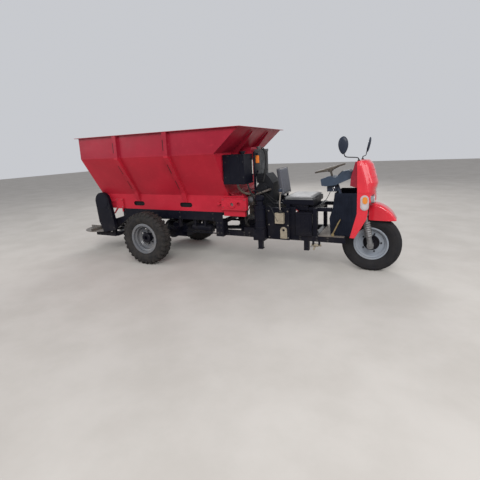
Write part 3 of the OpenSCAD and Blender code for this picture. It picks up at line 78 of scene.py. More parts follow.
def make_camera():
    """The photograph's view: right, up and back are the camera's own axes."""
    forward = Vector((math.sin(CAMERA_YAW) * math.cos(CAMERA_PITCH),
                      math.cos(CAMERA_YAW) * math.cos(CAMERA_PITCH), -math.sin(CAMERA_PITCH)))
    level_right = Vector((math.cos(CAMERA_YAW), -math.sin(CAMERA_YAW), 0))
    level_up = level_right.cross(forward)
    right = math.cos(CAMERA_ROLL) * level_right + math.sin(CAMERA_ROLL) * level_up
    up = -math.sin(CAMERA_ROLL) * level_right + math.cos(CAMERA_ROLL) * level_up
    data = bpy.data.cameras.new("camera")
    data.sensor_width = SENSOR_MM
    data.lens = FOCAL_PX / FRAME_PX * SENSOR_MM
    data.shift_y = -CENTRE_UP_PX / FRAME_PX
    camera = bpy.data.objects.new("camera", data)
    camera.matrix_world = Matrix.Translation(CAMERA_PLACE) @ Matrix((right, up, -forward)).transposed().to_4x4()
    scene.collection.objects.link(camera)
    scene.camera = camera


# Place of each lamp, the height it looks at, its size and its power
LAMPS = {
    "key": ((4.5, -8.5, 6.8), 0.8, 5.0, 760),
    "front": ((8.5, -1.5, 4.6), 0.8, 4.5, 210),
    "fill": ((-6.5, -5.5, 4.0), 0.8, 5.0, 190),
    "back": ((-1.5, 7.5, 6.5), 1.0, 5.0, 380),
}


def make_lights():
    for name, (place, target_z, size, power) in LAMPS.items():
        data = bpy.data.lights.new(name, "AREA")
        data.shape = "DISK"
        data.size = size
        data.energy = power
        light = bpy.data.objects.new(name, data)
        light.location = place
        light.rotation_euler = (Vector((0, 0, target_z)) - Vector(place)).to_track_quat("-Z", "Y").to_euler()
        scene.collection.objects.link(light)


make_camera()
make_lights()

# Node graphs


class Graph:
    """A short way to write a material's nodes."""

    def __init__(self, name):
        self.material = bpy.data.materials.new(name)
        self.material.use_nodes = True
        self.tree = self.material.node_tree
        self.tree.nodes.clear()
        self.out = self.node("ShaderNodeOutputMaterial")

    def node(self, kind, inputs=None, **settings):
        made = self.tree.nodes.new(kind)
        for key, value in settings.items():
            setattr(made, key, value)
        for key, value in (inputs or {}).items():
            self.put(made.inputs[key], value)
        return made

    def put(self, socket, value):
        if isinstance(value, bpy.types.NodeSocket):
            self.tree.links.new(value, socket)
        else:
            socket.default_value = value

    def noise(self, scale, detail, rough):
        return self.node("ShaderNodeTexNoise", {"Vector": self.place(), "Scale": scale, "Detail": detail,
                                                "Roughness": rough, "Lacunarity": 2.0}).outputs["Fac"]

    def place(self):
        if not hasattr(self, "coord"):
            self.coord = self.node("ShaderNodeTexCoord")
        return self.coord.outputs["Object"]

    def normal(self):
        self.place()
        return self.coord.outputs["Normal"]

    def part(self, vector, axis):
        return self.node("ShaderNodeSeparateXYZ", {"Vector": vector}).outputs[axis]

    def math(self, operation, a, b=0.0, clamp=False):
        return self.node("ShaderNodeMath", {0: a, 1: b}, operation=operation, use_clamp=clamp).outputs[0]

    def times(self, a, b, clamp=False):
        return self.math("MULTIPLY", a, b, clamp)

    def step(self, value, low, high, to_low=0.0, to_high=1.0):
        return self.node("ShaderNodeMapRange", {"Value": value, "From Min": low, "From Max": high,
                                                "To Min": to_low, "To Max": to_high},
                         interpolation_type="SMOOTHSTEP").outputs["Result"]

    def mix(self, share, a, b):
        made = self.node("ShaderNodeMix", data_type="RGBA")
        for index, value in ((0, share), (6, a), (7, b)):
            if isinstance(value, tuple):
                value = (*value, 1.0)[:4]
            self.put(made.inputs[index], value)
        return made.outputs[2]

    def rounded(self, radius):
        return self.node("ShaderNodeBevel", {"Radius": radius}, samples=4).outputs["Normal"]

    def edge(self, radius):
        """1 along sharp edges, 0 on the flats."""
        flat = self.node("ShaderNodeNewGeometry").outputs["Normal"]
        dot = self.node("ShaderNodeVectorMath", {0: flat, 1: self.rounded(radius)}, operation="DOT_PRODUCT")
        return self.step(dot.outputs["Value"], 0.995, 0.93)

    def bump(self, height, distance, strength, normal=None):
        inputs = {"Height": height, "Distance": distance, "Strength": strength}
        if normal is not None:
            inputs["Normal"] = normal
        return self.node("ShaderNodeBump", inputs).outputs["Normal"]

    def surface(self, **inputs):
        names = {"colour": "Base Color", "rough": "Roughness", "metal": "Metallic", "normal": "Normal",
                 "coat": "Coat Weight", "coat_rough": "Coat Roughness", "specular": "Specular IOR Level"}
        shader = self.node("ShaderNodeBsdfPrincipled")
        for key, value in inputs.items():
            if isinstance(value, tuple):
                value = (*value, 1.0)[:4]
            self.put(shader.inputs[names[key]], value)
        self.tree.links.new(shader.outputs[0], self.out.inputs["Surface"])
        return self.material


DUST = (0.36, 0.30, 0.235)
DRY_MUD = (0.115, 0.098, 0.082)
RUST = (0.16, 0.065, 0.03)
PAINT_SHADE = 0.82


def scaled(colour, share, lift=0.0):
    """A colour made darker or paler."""
    return tuple(min(1, c * share + lift) for c in colour)


def dusted(g, amount, low=0.25, high=0.95):
    """Share of dust: more near the ground and on faces that look up, in patches."""
    height = g.step(g.part(g.place(), "Z"), high, low)
    upward = g.step(g.part(g.normal(), "Z"), 0.35, 0.95, 0.0, 0.55)
    patches = g.step(g.noise(5.5, 6, 0.62), 0.36, 0.74)
    grit = g.step(g.noise(140, 3, 0.7), 0.35, 0.8, 0.35, 1.0)
    both = g.math("MAXIMUM", height, upward)
    return g.times(g.times(both, g.times(patches, grit)), amount, True)


def paint(name, colour, rough=0.3, coat=0.0, dust=0.5, worn=(0.30, 0.27, 0.25), wear=0.45, specular=0.25,
          upper=None, inner=None):
    """Sprayed paint; upper names a second colour, painted as shade on the part above the heights where it begins,
    inner a colour painted as shade on plates that lie nearer the middle than a width and further back than a place."""
    g = Graph(name)
    tone = g.step(g.noise(2.2, 5, 0.6), 0.3, 0.75)
    base = g.mix(tone, scaled(colour, PAINT_SHADE), colour)
    # Painted shade: above the given heights the paint takes the upper colour
    if upper:
        high = g.mix(tone, scaled(upper[0], PAINT_SHADE), upper[0])
        base = g.mix(g.step(g.part(g.place(), "Z"), upper[1], upper[2]), base, high)
    # Painted shade: plates nearer the middle than the width and behind the place take the inner colour
    if inner:
        across = g.math("ABSOLUTE", g.part(g.place(), "Y"))
        inside = g.times(g.step(across, inner[1] + 0.002, inner[1]),
                         g.step(g.part(g.place(), "X"), inner[2] + 0.002, inner[2]))
        base = g.mix(inside, base, inner[0])
    fade = g.times(g.step(g.noise(16, 6, 0.65), 0.52, 0.78), 0.22)
    base = g.mix(fade, base, scaled(colour, 1.25, 0.02))
    chips = g.times(g.edge(0.0035), g.step(g.noise(55, 5, 0.7), 0.47, 0.6))
    base = g.mix(g.times(chips, wear), base, worn)
    cover = dusted(g, dust)
    base = g.mix(cover, base, DUST)
    uneven = g.step(g.noise(9, 5, 0.6), 0.3, 0.8, rough - 0.07, rough + 0.1)
    peel = g.bump(g.noise(260, 2, 0.5), 0.0004, 0.35, g.rounded(0.0022))
    wavy = g.bump(g.noise(3.2, 2, 0.5), 0.012, 0.22, peel)
    return g.surface(colour=base, rough=g.math("ADD", g.times(cover, 0.5), uneven, True), normal=wavy, coat=coat,
                     coat_rough=0.12, specular=specular)


def metal(name, colour, rough=0.42, metallic=0.9, dust=0.5, grain=0.5, rust=0.0):
    """Bare metal with stains of rust."""
    g = Graph(name)
    tone = g.step(g.noise(18, 6, 0.65), 0.3, 0.72)
    base = g.mix(tone, scaled(colour, 0.62), colour)
    stain = g.times(g.step(g.noise(34, 6, 0.72), 0.5, 0.66), rust)
    base = g.mix(stain, base, RUST)
    cover = dusted(g, dust)
    base = g.mix(cover, base, DUST)
    dull = g.math("ADD", g.times(cover, 0.4), g.times(stain, 0.35))
    uneven = g.step(g.noise(46, 5, 0.65), 0.3, 0.75, rough - 0.1, rough + 0.12)
    shine = g.times(g.math("SUBTRACT", 1.0, g.math("ADD", cover, stain), True), metallic)
    grainy = g.bump(g.noise(420, 3, 0.6), 0.0006, grain, g.rounded(0.0018))
    return g.surface(colour=base, rough=g.math("ADD", dull, uneven, True), metal=shine, normal=grainy, specular=0.3)


def rubber(name, colour, mud):
    """Tyre rubber with dry mud in patches and along its edges."""
    g = Graph(name)
    tone = g.step(g.noise(9, 6, 0.65), 0.3, 0.72)
    base = g.mix(tone, scaled(colour, 0.7), colour)
    patches = g.step(g.noise(13, 7, 0.7), 0.33, 0.66)
    worn_edges = g.math("MAXIMUM", g.times(patches, 0.6), g.times(g.edge(0.006), 0.85))
    base = g.mix(g.times(worn_edges, mud, True), base, DRY_MUD)
    gritty = g.bump(g.noise(190, 4, 0.7), 0.0012, 0.55, g.rounded(0.004))
    return g.surface(colour=base, rough=g.step(patches, 0, 1, 0.72, 0.93), normal=gritty, specular=0.2)


def plastic(name, colour, rough=0.5, dust=0.35, pale=1.5, specular=0.25):
    """Moulded plastic, scuffed pale along its edges."""
    g = Graph(name)
    tone = g.step(g.noise(6, 5, 0.6), 0.3, 0.75)
    base = g.mix(tone, colour, scaled(colour, pale, 0.002))
    scuff = g.times(g.edge(0.003), g.step(g.noise(70, 4, 0.7), 0.45, 0.7))
    base = g.mix(g.times(scuff, 0.35), base, scaled(colour, 3, 0.05))
    cover = dusted(g, dust)
    base = g.mix(cover, base, DUST)
    grained = g.bump(g.noise(600, 2, 0.5), 0.0004, 0.3, g.rounded(0.002))
    uneven = g.step(g.noise(20, 4, 0.6), 0.3, 0.8, rough - 0.08, rough + 0.1)
    return g.surface(colour=base, rough=g.math("ADD", g.times(cover, 0.35), uneven, True), normal=grained,
                     specular=specular)


def vinyl(name, colour, worn):
    """Seat vinyl with a fine grain and soft creases."""
    g = Graph(name)
    tone = g.step(g.noise(8, 6, 0.65), 0.32, 0.7)
    base = g.mix(g.times(tone, 0.5), colour, worn)
    cells = g.node("ShaderNodeTexVoronoi", {"Vector": g.place(), "Scale": 420.0},
                   feature="DISTANCE_TO_EDGE").outputs[0]
    base = g.mix(dusted(g, 0.2, -1, -0.5), base, DUST)
    grain = g.bump(g.step(cells, 0, 0.12), 0.0005, 0.5)
    folded = g.bump(g.noise(38, 6, 0.7), 0.004, 0.3, grain)
    return g.surface(colour=base, rough=g.step(tone, 0, 1, 0.42, 0.62), normal=folded, coat=0.1, coat_rough=0.35)


def lens(name, colour):
    """A lamp's cover with fine ribs."""
    g = Graph(name)
    ribs = g.node("ShaderNodeTexWave", {"Vector": g.place(), "Scale": 60.0, "Distortion": 0.0},
                  bands_direction="Z").outputs["Fac"]
    return g.surface(colour=colour, rough=0.12, normal=g.bump(ribs, 0.0012, 0.5), coat=0.6, coat_rough=0.05)


RED = (0.46, 0.018, 0.036)
# A darker copy of the hopper's red, painted as shade on its upper band
BAND_SHADE_RED = (0.30, 0.013, 0.030)
BRIGHT_RED = (0.62, 0.020, 0.036)
BLACK = (0.0036, 0.0040, 0.0095)

finishes = {
    "red_paint": paint("red_paint", RED, rough=0.34, coat=0.06, dust=0.06, wear=0.35, specular=0.16),
    "black_paint": paint("black_paint", BLACK, rough=0.42, dust=0.07, worn=(0.07, 0.062, 0.058), wear=0.4,
                         specular=0.14),
    "silver_paint": paint("silver_paint", (0.27, 0.30, 0.345), rough=0.34, coat=0.2, dust=0.3,
                          worn=(0.15, 0.13, 0.12)),
    "tyre": rubber("tyre", (0.0125, 0.0127, 0.0155), mud=0.17),
    "worn_steel": metal("worn_steel", (0.20, 0.19, 0.18), rough=0.5, metallic=0.6, dust=0.5, rust=0.4),
    "cast_iron": metal("cast_iron", (0.014, 0.015, 0.019), rough=0.55, metallic=0.3, dust=0.12, grain=0.9),
    "alloy": metal("alloy", (0.17, 0.17, 0.18), rough=0.5, metallic=0.6, dust=0.3, grain=0.8),
    "dark_plastic": plastic("dark_plastic", (0.027, 0.040, 0.062), rough=0.46, dust=0.06),
    "black_plastic": plastic("black_plastic", (0.013, 0.018, 0.031), rough=0.4, pale=1.4, dust=0.08),
    "wheel_rim_plastic": plastic("wheel_rim_plastic", (0.085, 0.072, 0.060), rough=0.42, dust=0.15),
    "seat_cover": vinyl("seat_cover", (0.135, 0.135, 0.136), (0.255, 0.253, 0.248)),
    "seat_panel": vinyl("seat_panel", (0.052, 0.055, 0.070), (0.10, 0.102, 0.122)),
    "lamp_lens": lens("lamp_lens", (0.44, 0.37, 0.38)),
    "worn_plate": metal("worn_plate", (0.36, 0.31, 0.235), rough=0.5, metallic=0.35, dust=0.3, rust=0.25),
    "tan_steel": metal("tan_steel", (0.18, 0.155, 0.135), rough=0.55, metallic=0.3, dust=0.35),
    "brass_plate": metal("brass_plate", (0.28, 0.215, 0.11), rough=0.42, metallic=0.6, dust=0.25, rust=0.3),
    "rusty_steel": metal("rusty_steel", (0.075, 0.055, 0.046), rough=0.6, metallic=0.5, dust=0.2, rust=0.8),
}

# Nodes whose paint differs in tone from that of their slot
tones = {
    # The hopper's red, with painted shade on its upper band from 1.60 m up
    "hopper": paint("hopper_red_shaded_band", (0.43, 0.017, 0.034), rough=0.38, coat=0.03, dust=0.05, wear=0.35, specular=0.14,
                    upper=(BAND_SHADE_RED, 1.60, 1.64)),
    # The fairing's red, with painted shade on the inner plates behind its rear edge
    "front": paint("fairing_red_shaded_inside", BRIGHT_RED, rough=0.24, coat=0.45, dust=0.05, wear=0.25,
                   inner=((0.20, 0.008, 0.020), 0.2515, 2.992 + AXLE_X)),
    "shield": plastic("shield_black", (0.0040, 0.0058, 0.0120), rough=0.5, dust=0.03, specular=0.12),
    "rear_rim": paint("rear_rim_silver", (0.130, 0.136, 0.150), rough=0.36, coat=0.15, dust=0.35,
                      worn=(0.12, 0.10, 0.09)),
    "rear_tyre": rubber("rear_tyre_rubber", (0.0155, 0.0152, 0.0165), mud=0.36),
    "lever": paint("lever_rod", (0.26, 0.225, 0.19), rough=0.45, dust=0.2, worn=(0.10, 0.07, 0.05), wear=0.7),
    "radiator": metal("radiator_alloy", (0.115, 0.12, 0.125), rough=0.5, metallic=0.6, dust=0.45, grain=0.9),
    "casting": metal("casting_alloy", (0.13, 0.115, 0.105), rough=0.55, metallic=0.5, dust=0.3, rust=0.35),
    "legs": metal("fork_alloy", (0.215, 0.215, 0.22), rough=0.45, metallic=0.6, dust=0.3),
    "chain": metal("chain_steel", (0.030, 0.027, 0.025), rough=0.6, metallic=0.4, dust=0.08, rust=0.5),
    "cover": paint("cover_red", (0.36, 0.015, 0.030), rough=0.55, dust=0.04, wear=0.3, specular=0.12),
}
tone_of = {
    "hopper_side_right": "hopper", "hopper_side_left": "hopper", "hopper_front": "hopper", "hopper_rear": "hopper",
    "fairing": "front", "front_fender": "front", "leg_shield": "shield", "rear_rim_right": "rear_rim",
    "rear_rim_left": "rear_rim", "rear_tyre_right": "rear_tyre", "rear_tyre_left": "rear_tyre", "gear_lever": "lever",
    "radiator": "radiator", "engine_head": "casting", "fork": "legs", "conveyor_chain": "chain",
    "conveyor_cover": "cover",
}

for subpart in frame["record"]["subparts"]:
    node = subpart["node"]
    mesh = nodes[node].data
    mesh.materials.clear()
    mesh.materials.append(tones[tone_of[node]] if node in tone_of else finishes[subpart["material_slot"]])

# Finishes of the pieces that are added
trim = {
    "bolt": metal("bolt_finish", (0.24, 0.22, 0.20), rough=0.45, metallic=0.8, dust=0.25, rust=0.4),
    "red_bolt": paint("red_bolt_finish", (0.36, 0.016, 0.030), rough=0.4, dust=0.08, wear=0.8, specular=0.2),
    "dark_bolt": metal("dark_bolt_finish", (0.03, 0.03, 0.034), rough=0.5, metallic=0.5, dust=0.25),
    "hose": plastic("hose_finish", (0.012, 0.012, 0.013), rough=0.55),
    "brown_hose": plastic("brown_hose_finish", (0.11, 0.083, 0.066), rough=0.6),
    "cable": plastic("cable_finish", (0.010, 0.010, 0.011), rough=0.5),
    "red_cable": plastic("red_cable_finish", (0.22, 0.012, 0.012), rough=0.5),
    # Painted shadow: near-black for the plates set in the slots
    "shadow": plastic("slot_shadow_finish", (0.0035, 0.003, 0.004), rough=0.8, dust=0.0),
    "clamp": metal("clamp_finish", (0.34, 0.34, 0.34), rough=0.35, metallic=0.9, dust=0.15),
    "chrome": metal("chrome_finish", (0.55, 0.56, 0.58), rough=0.18, metallic=1.0, dust=0.1, grain=0.05),
    "dial": plastic("dial_finish", (0.008, 0.008, 0.010), rough=0.3, dust=0.02),
    "mark": plastic("mark_finish", (0.60, 0.60, 0.58), rough=0.4, dust=0.02),
    "pale_tube": plastic("pale_tube_finish", (0.34, 0.33, 0.30), rough=0.35, dust=0.1),
    "orange": plastic("orange_finish", (0.75, 0.20, 0.035), rough=0.4, dust=0.1, pale=1.15),
    "amber": lens("amber_lens", (0.62, 0.20, 0.012)),
    "clear": lens("clear_lens", (0.46, 0.42, 0.43)),
    "glass": metal("glass_finish", (0.80, 0.82, 0.84), rough=0.12, metallic=1.0, dust=0.12, grain=0.02),
    "piping": vinyl("piping_finish", (0.05, 0.05, 0.055), (0.10, 0.10, 0.11)),
}

# Pieces

RIGHT = (0, -1, 0)
LEFT = (0, 1, 0)
FRONT = (1, 0, 0)
UP = (0, 0, 1)
DOWN = (0, 0, -1)


def placed(name, data, finish, body):
    """A new object in the scene, riding on a body of the frame."""
    data.materials.append(finish)
    made = bpy.data.objects.new(name, data)
    scene.collection.objects.link(made)
    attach(made, body)
    return made


def add_piece(name, mesh, slot, finish=None, body="chassis", smooth=35):
    """A piece from a mesh, shaded smooth below an angle; without a finish of its own it has its slot's."""
    mesh.shade_smooth()
    mesh.set_sharp_from_angle(angle=math.radians(smooth))
    return placed(name, mesh, finish or finishes[slot], body)


def mesh_from(name, build):
    """A mesh made by a function that fills a bmesh."""
    shape = bmesh.new()
    build(shape)
    mesh = bpy.data.meshes.new(name)
    shape.to_mesh(mesh)
    shape.free()
    return mesh


def built(name, build, slot, finish=None, body="chassis", smooth=35):
    """A piece made by a function that fills a bmesh."""
    return add_piece(name, mesh_from(name, build), slot, finish, body, smooth)


def rods(name, lines, radius, finish, body="chassis", closed=False, bent=False):
    """Round rods through lines of points, as one piece: straight from point to point, or bent smoothly."""
    curve = bpy.data.curves.new(name, "CURVE")
    curve.dimensions = "3D"
    curve.bevel_depth = radius
    curve.bevel_resolution = 3 if bent else 2
    curve.use_fill_caps = not closed
    if bent:
        curve.resolution_u = 6
    for line in lines:
        spline = curve.splines.new("NURBS" if bent else "POLY")
        spline.points.add(len(line) - 1)
        spline.use_cyclic_u = closed
        for point, place in zip(spline.points, line):
            point.co = (*place, 1.0)
        if bent:
            spline.order_u = 3
            spline.use_endpoint_u = True
    return placed(name, curve, finish, body)


def facing(place, direction):
    """The transform that puts +Z along a direction at a place."""
    return Matrix.Translation(place) @ Vector(direction).to_track_quat("Z", "Y").to_matrix().to_4x4()


def cone(shape, place, direction, low_r, high_r, height, segments):
    """A short cylinder or cone standing on a surface."""
    stand = facing(place, direction) @ Matrix.Translation((0, 0, height / 2))
    bmesh.ops.create_cone(shape, cap_ends=True, segments=segments, radius1=low_r, radius2=high_r, depth=height,
                          matrix=stand)


def hex_bolt(shape, place, direction, radius):
    """A washer, a hexagon head with its chamfer, and the end of the thread."""
    direction = Vector(direction).normalized()
    cone(shape, place, direction, radius * 1.45, radius * 1.4, radius * 0.22, 24)
    head = Vector(place) + direction * radius * 0.2
    cone(shape, head, direction, radius, radius, radius * 0.62, 6)
    cone(shape, head + direction * radius * 0.6, direction, radius * 0.9, radius * 0.7, radius * 0.16, 18)
    cone(shape, head + direction * radius * 0.7, direction, radius * 0.48, radius * 0.42, radius * 0.35, 16)


def block(shape, low, high, pose=Matrix(), bevel=0.0):
    """A box between two corners, its edges softened."""
    verts = bmesh.ops.create_cube(shape, size=1)["verts"]
    low = Vector(low)
    size = Vector(high) - low
    for vert in verts:
        share = vert.co + Vector((0.5, 0.5, 0.5))
        vert.co = pose @ (low + Vector([share[k] * size[k] for k in range(3)]))
    if bevel:
        edges = list({edge for vert in verts for edge in vert.link_edges})
        bmesh.ops.bevel(shape, geom=edges, offset=bevel, segments=2, affect="EDGES")


def blocks(shape, bevel, *rows):
    """Boxes, each from its low and its high corner, counted from the rear axle."""
    for row in rows:
        block(shape, at(*row[:3]), at(*row[3:]), bevel=bevel)


def skin(shape, rows, closed_row=False):
    """Faces between rows of points of the same length."""
    grid = [[shape.verts.new(point) for point in row] for row in rows]
    for row, after in zip(grid, grid[1:]):
        count = len(row)
        for k in range(count if closed_row else count - 1):
            shape.faces.new((row[k], row[(k + 1) % count], after[(k + 1) % count], after[k]))
    return grid


def closed_skin(shape, rings):
    """A skin through closed rings, with a lid on each end."""
    grid = skin(shape, rings, True)
    shape.faces.new(list(reversed(grid[0])))
    shape.faces.new(grid[-1])


def turned(shape, place, direction, profile, segments=32):
    """A turned form: rings at a height and a radius along a direction, closed at both ends."""
    stand = facing(place, direction)
    angles = [2 * math.pi * k / segments for k in range(segments)]
    closed_skin(shape, [[stand @ Vector((radius * math.cos(angle), radius * math.sin(angle), height))
                         for angle in angles] for height, radius in profile])


def face_outwards(shape):
    bmesh.ops.recalc_face_normals(shape, faces=shape.faces[:])


def flat_plate(name, outline, thickness, pose, slot, finish, bevel=0.0):
    """A plate with a given outline, its edges softened."""
    def build(shape):
        face = shape.faces.new([shape.verts.new((x, y, 0)) for x, y in outline])
        lifted = bmesh.ops.extrude_face_region(shape, geom=[face])["geom"]
        bmesh.ops.translate(shape, verts=[v for v in lifted if isinstance(v, bmesh.types.BMVert)],
                            vec=(0, 0, thickness))
        face_outwards(shape)
        if bevel:
            bmesh.ops.bevel(shape, geom=shape.edges[:], offset=bevel, segments=2, affect="EDGES")
        bmesh.ops.transform(shape, verts=shape.verts[:], matrix=pose)
    built(name, build, slot, finish)


def rounded_loop(half_x, half_y, radius, steps=8):
    """Points along a rectangle with round corners, in its own plane."""
    loop = []
    for sx, sy, start in ((1, 1, 0), (-1, 1, 90), (-1, -1, 180), (1, -1, 270)):
        for k in range(steps + 1):
            angle = math.radians(start + 90 * k / steps)
            loop.append(((half_x - radius) * sx + radius * math.cos(angle),
                         (half_y - radius) * sy + radius * math.sin(angle)))
    return loop


# Bolts, each just proud of the face that it stands on

RAIL_Y = 0.4503
LOW_RAIL_Y = 0.3603
GUARD_Y = 0.5503
COVER_Y = 0.4203
BEARING_Y = 0.5203
PLATE_Y = 0.4706


def bolt_rows(xs, y, zs):
    """Places for bolts on an upright face, each with its way out."""
    return [(at(x, y, z), LEFT if y > 0 else RIGHT) for x in xs for z in zs]


def mirrored(places):
    """The same places on both sides of the machine."""
    return places + [((x, -y, z), (u, -v, w)) for (x, y, z), (u, v, w) in places]


def bolts(name, spots, radius, finish="bolt"):
    """Bolts at a list of places and directions, as one piece."""
    def build(shape):
        for place, direction in spots:
            hex_bolt(shape, place, direction, radius)
    built(name, build, "worn_steel", trim[finish], smooth=30)


def make_bolts():
    rail = bolt_rows((-0.64, -0.20, 0.45, 1.03), RAIL_Y, (0.69, 0.76))
    rail += bolt_rows((1.24, 1.48, 1.56, 2.30, 2.52, 2.66), LOW_RAIL_Y, (0.448, 0.488))
    rail += bolt_rows((1.10, 1.16), RAIL_Y, (0.48, 0.56, 0.63))
    bolts("rail_bolts", mirrored(rail), 0.0105, "dark_bolt")
    guard = ((-1.165, 0.80), (-0.905, 0.80), (-1.14, 0.60), (-1.08, 0.43), (-0.835, 0.47), (-0.86, 0.66))
    bolts("guard_bolts", [(at(x, -GUARD_Y, z), RIGHT) for x, z in guard], 0.009, "dark_bolt")
    bolts("cover_bolts", bolt_rows((1.885, 2.15), -COVER_Y, (0.47, 0.64, 0.83)), 0.008)
    bearing = bolt_rows((1.245, 1.575), BEARING_Y, (0.875, 0.985))
    bolts("bearing_bolts", mirrored(bearing), 0.0095, "red_bolt")
    plate = bolt_rows((-0.785, -0.67), PLATE_Y, (0.815, 0.93)) + bolt_rows((-1.10, -0.955), PLATE_Y, (0.85, 0.99))
    bolts("plate_bolts", mirrored(plate), 0.010, "red_bolt")


# Cushions

CLOTH_FRAMES = 18
CLOTH_CAP = 0.007
CLOTH_VOXEL = 0.006
CLOTH_PRESSURE = 3.0
SIDE_PULL = 0.004
PAD_ROOM = 0.005
PIPING_INSET = 0.004
PIPING_R = 0.0035
BACK_HALF = (0.19, 0.19, 0.025)
BACK_LEAN = -8


def rounded_block(name, half, radius, crown, cuts=22):
    """A closed block with round edges whose broad face is crowned and whose sides pull in between the corners."""
    def build(shape):
        bmesh.ops.create_cube(shape, size=2)
        bmesh.ops.subdivide_edges(shape, edges=shape.edges[:], cuts=cuts, use_grid_fill=True)
        inner = [size - radius for size in half]
        for vert in shape.verts:
            point = Vector([vert.co[k] * half[k] for k in range(3)])
            core = Vector([max(-inner[k], min(inner[k], point[k])) for k in range(3)])
            edge = point - core
            if edge.length > 0:
                point = core + edge.normalized() * radius
            u = point.x / half[0]
            v = point.y / half[1]
            point.z += crown * (1 - u ** 4) * (1 - v ** 4) * max(0.0, point.z / half[2])
            point.x -= SIDE_PULL * u * (1 - v * v)
            point.y -= SIDE_PULL * v * (1 - u * u)
            vert.co = point
    return mesh_from(name, build)


def applied(trial):
    """A copy of an object's mesh with its modifiers applied."""
    return bpy.data.meshes.new_from_object(trial.evaluated_get(bpy.context.evaluated_depsgraph_get()))


def inflated(mesh):
    """The mesh swollen by a short cloth simulation, each point held within a small distance of its place."""
    trial = bpy.data.objects.new("trial", mesh)
    scene.collection.objects.link(trial)
    remesh = trial.modifiers.new("remesh", "REMESH")
    remesh.mode = "VOXEL"
    remesh.voxel_size = CLOTH_VOXEL
    start = applied(trial)
    trial.modifiers.clear()
    trial.data = start
    settings = trial.modifiers.new("cloth", "CLOTH").settings
    settings.use_pressure = True
    settings.uniform_pressure_force = CLOTH_PRESSURE
    settings.effector_weights.gravity = 0
    settings.tension_stiffness = 12
    settings.bending_stiffness = 0.3
    for number in range(1, CLOTH_FRAMES + 1):
        scene.frame_set(number)
    swollen = applied(trial)
    for vert, first in zip(swollen.vertices, start.vertices):
        shift = vert.co - first.co
        vert.co = first.co + shift * min(1.0, CLOTH_CAP / max(shift.length, 1e-9))
    bpy.data.objects.remove(trial)
    scene.frame_set(1)
    return swollen


def pad(name, node, half, pose, slot, crown, radius):
    """A cushion that stands for a plain solid: swollen cover and two lines of piping."""
    mesh = rounded_block(name, [half[0] - PAD_ROOM, half[1] - PAD_ROOM, half[2]], radius, crown)
    mesh = inflated(mesh)
    for vert in mesh.vertices:
        vert.co.z = max(vert.co.z, -half[2] + 0.0005)
    mesh.transform(pose)
    cover = add_piece(name, mesh, slot, smooth=60)
    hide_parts(node)
    outline = rounded_loop(half[0] - PIPING_INSET, half[1] - PIPING_INSET, radius * 1.6)
    for label, level in (("top", half[2] - radius * 0.35), ("base", -half[2] + radius * 0.4)):
        loop = [pose @ Vector((x, y, level)) for x, y in outline]
        rods(f"{name}_piping_{label}", [loop], PIPING_R, trim["piping"], closed=True)


def make_cushions():
    low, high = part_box("seat_cushion")
    half = [(h - l) / 2 for l, h in zip(low, high)]
    middle = [(h + l) / 2 for l, h in zip(low, high)]
    pad("seat_pad", "seat_cushion", half, Matrix.Translation(middle), "seat_cover", 0.006, 0.022)
    pose = Matrix.Translation(at(2.025, 0, 1.011)) @ turn(BACK_LEAN, "Y") \
        @ Matrix.Translation((-BACK_HALF[2], 0, BACK_HALF[0])) @ turn(90, "Y")
    pad("back_pad", "seat_back", BACK_HALF, pose, "seat_panel", 0.004, 0.018)


# Front tyre

TYRE_PARTS = 288
TREAD_GROOVES = (-0.034, -0.0115, 0.0115, 0.034)
TREAD_CROWN = 1.4
GROOVE_HALF = 0.0032
GROOVE_BRIM = GROOVE_HALF + 0.0006
GROOVE_DEPTH = 0.006
ZIGZAG = 0.0030
ZIGZAG_PARTS = 8
NOTCH_PARTS = 3
NOTCH_DEPTH = 0.004
TYRE_FOOT_R = 0.203
# Height over the foot and share of half the width, up the wall
TYRE_WALL = ((0, 0.66), (0.014, 0.66), (0.017, 0.69), (0.032, 0.80), (0.036, 0.82), (0.040, 0.83), (0.062, 0.955),
             (0.085, 0.998), (0.108, 0.985), (0.124, 0.945), (0.128, 0.957), (0.132, 0.935), (0.148, 0.86))
# Depth below the tread and share of half the width, from the wall to the tread
TYRE_SHOULDER = ((0.012, 0.74, "shoulder"), (0.006, 0.655, "shoulder"), (0.0035, 0.60, "tread"),
                 (0.0022, 0.52, "tread"))


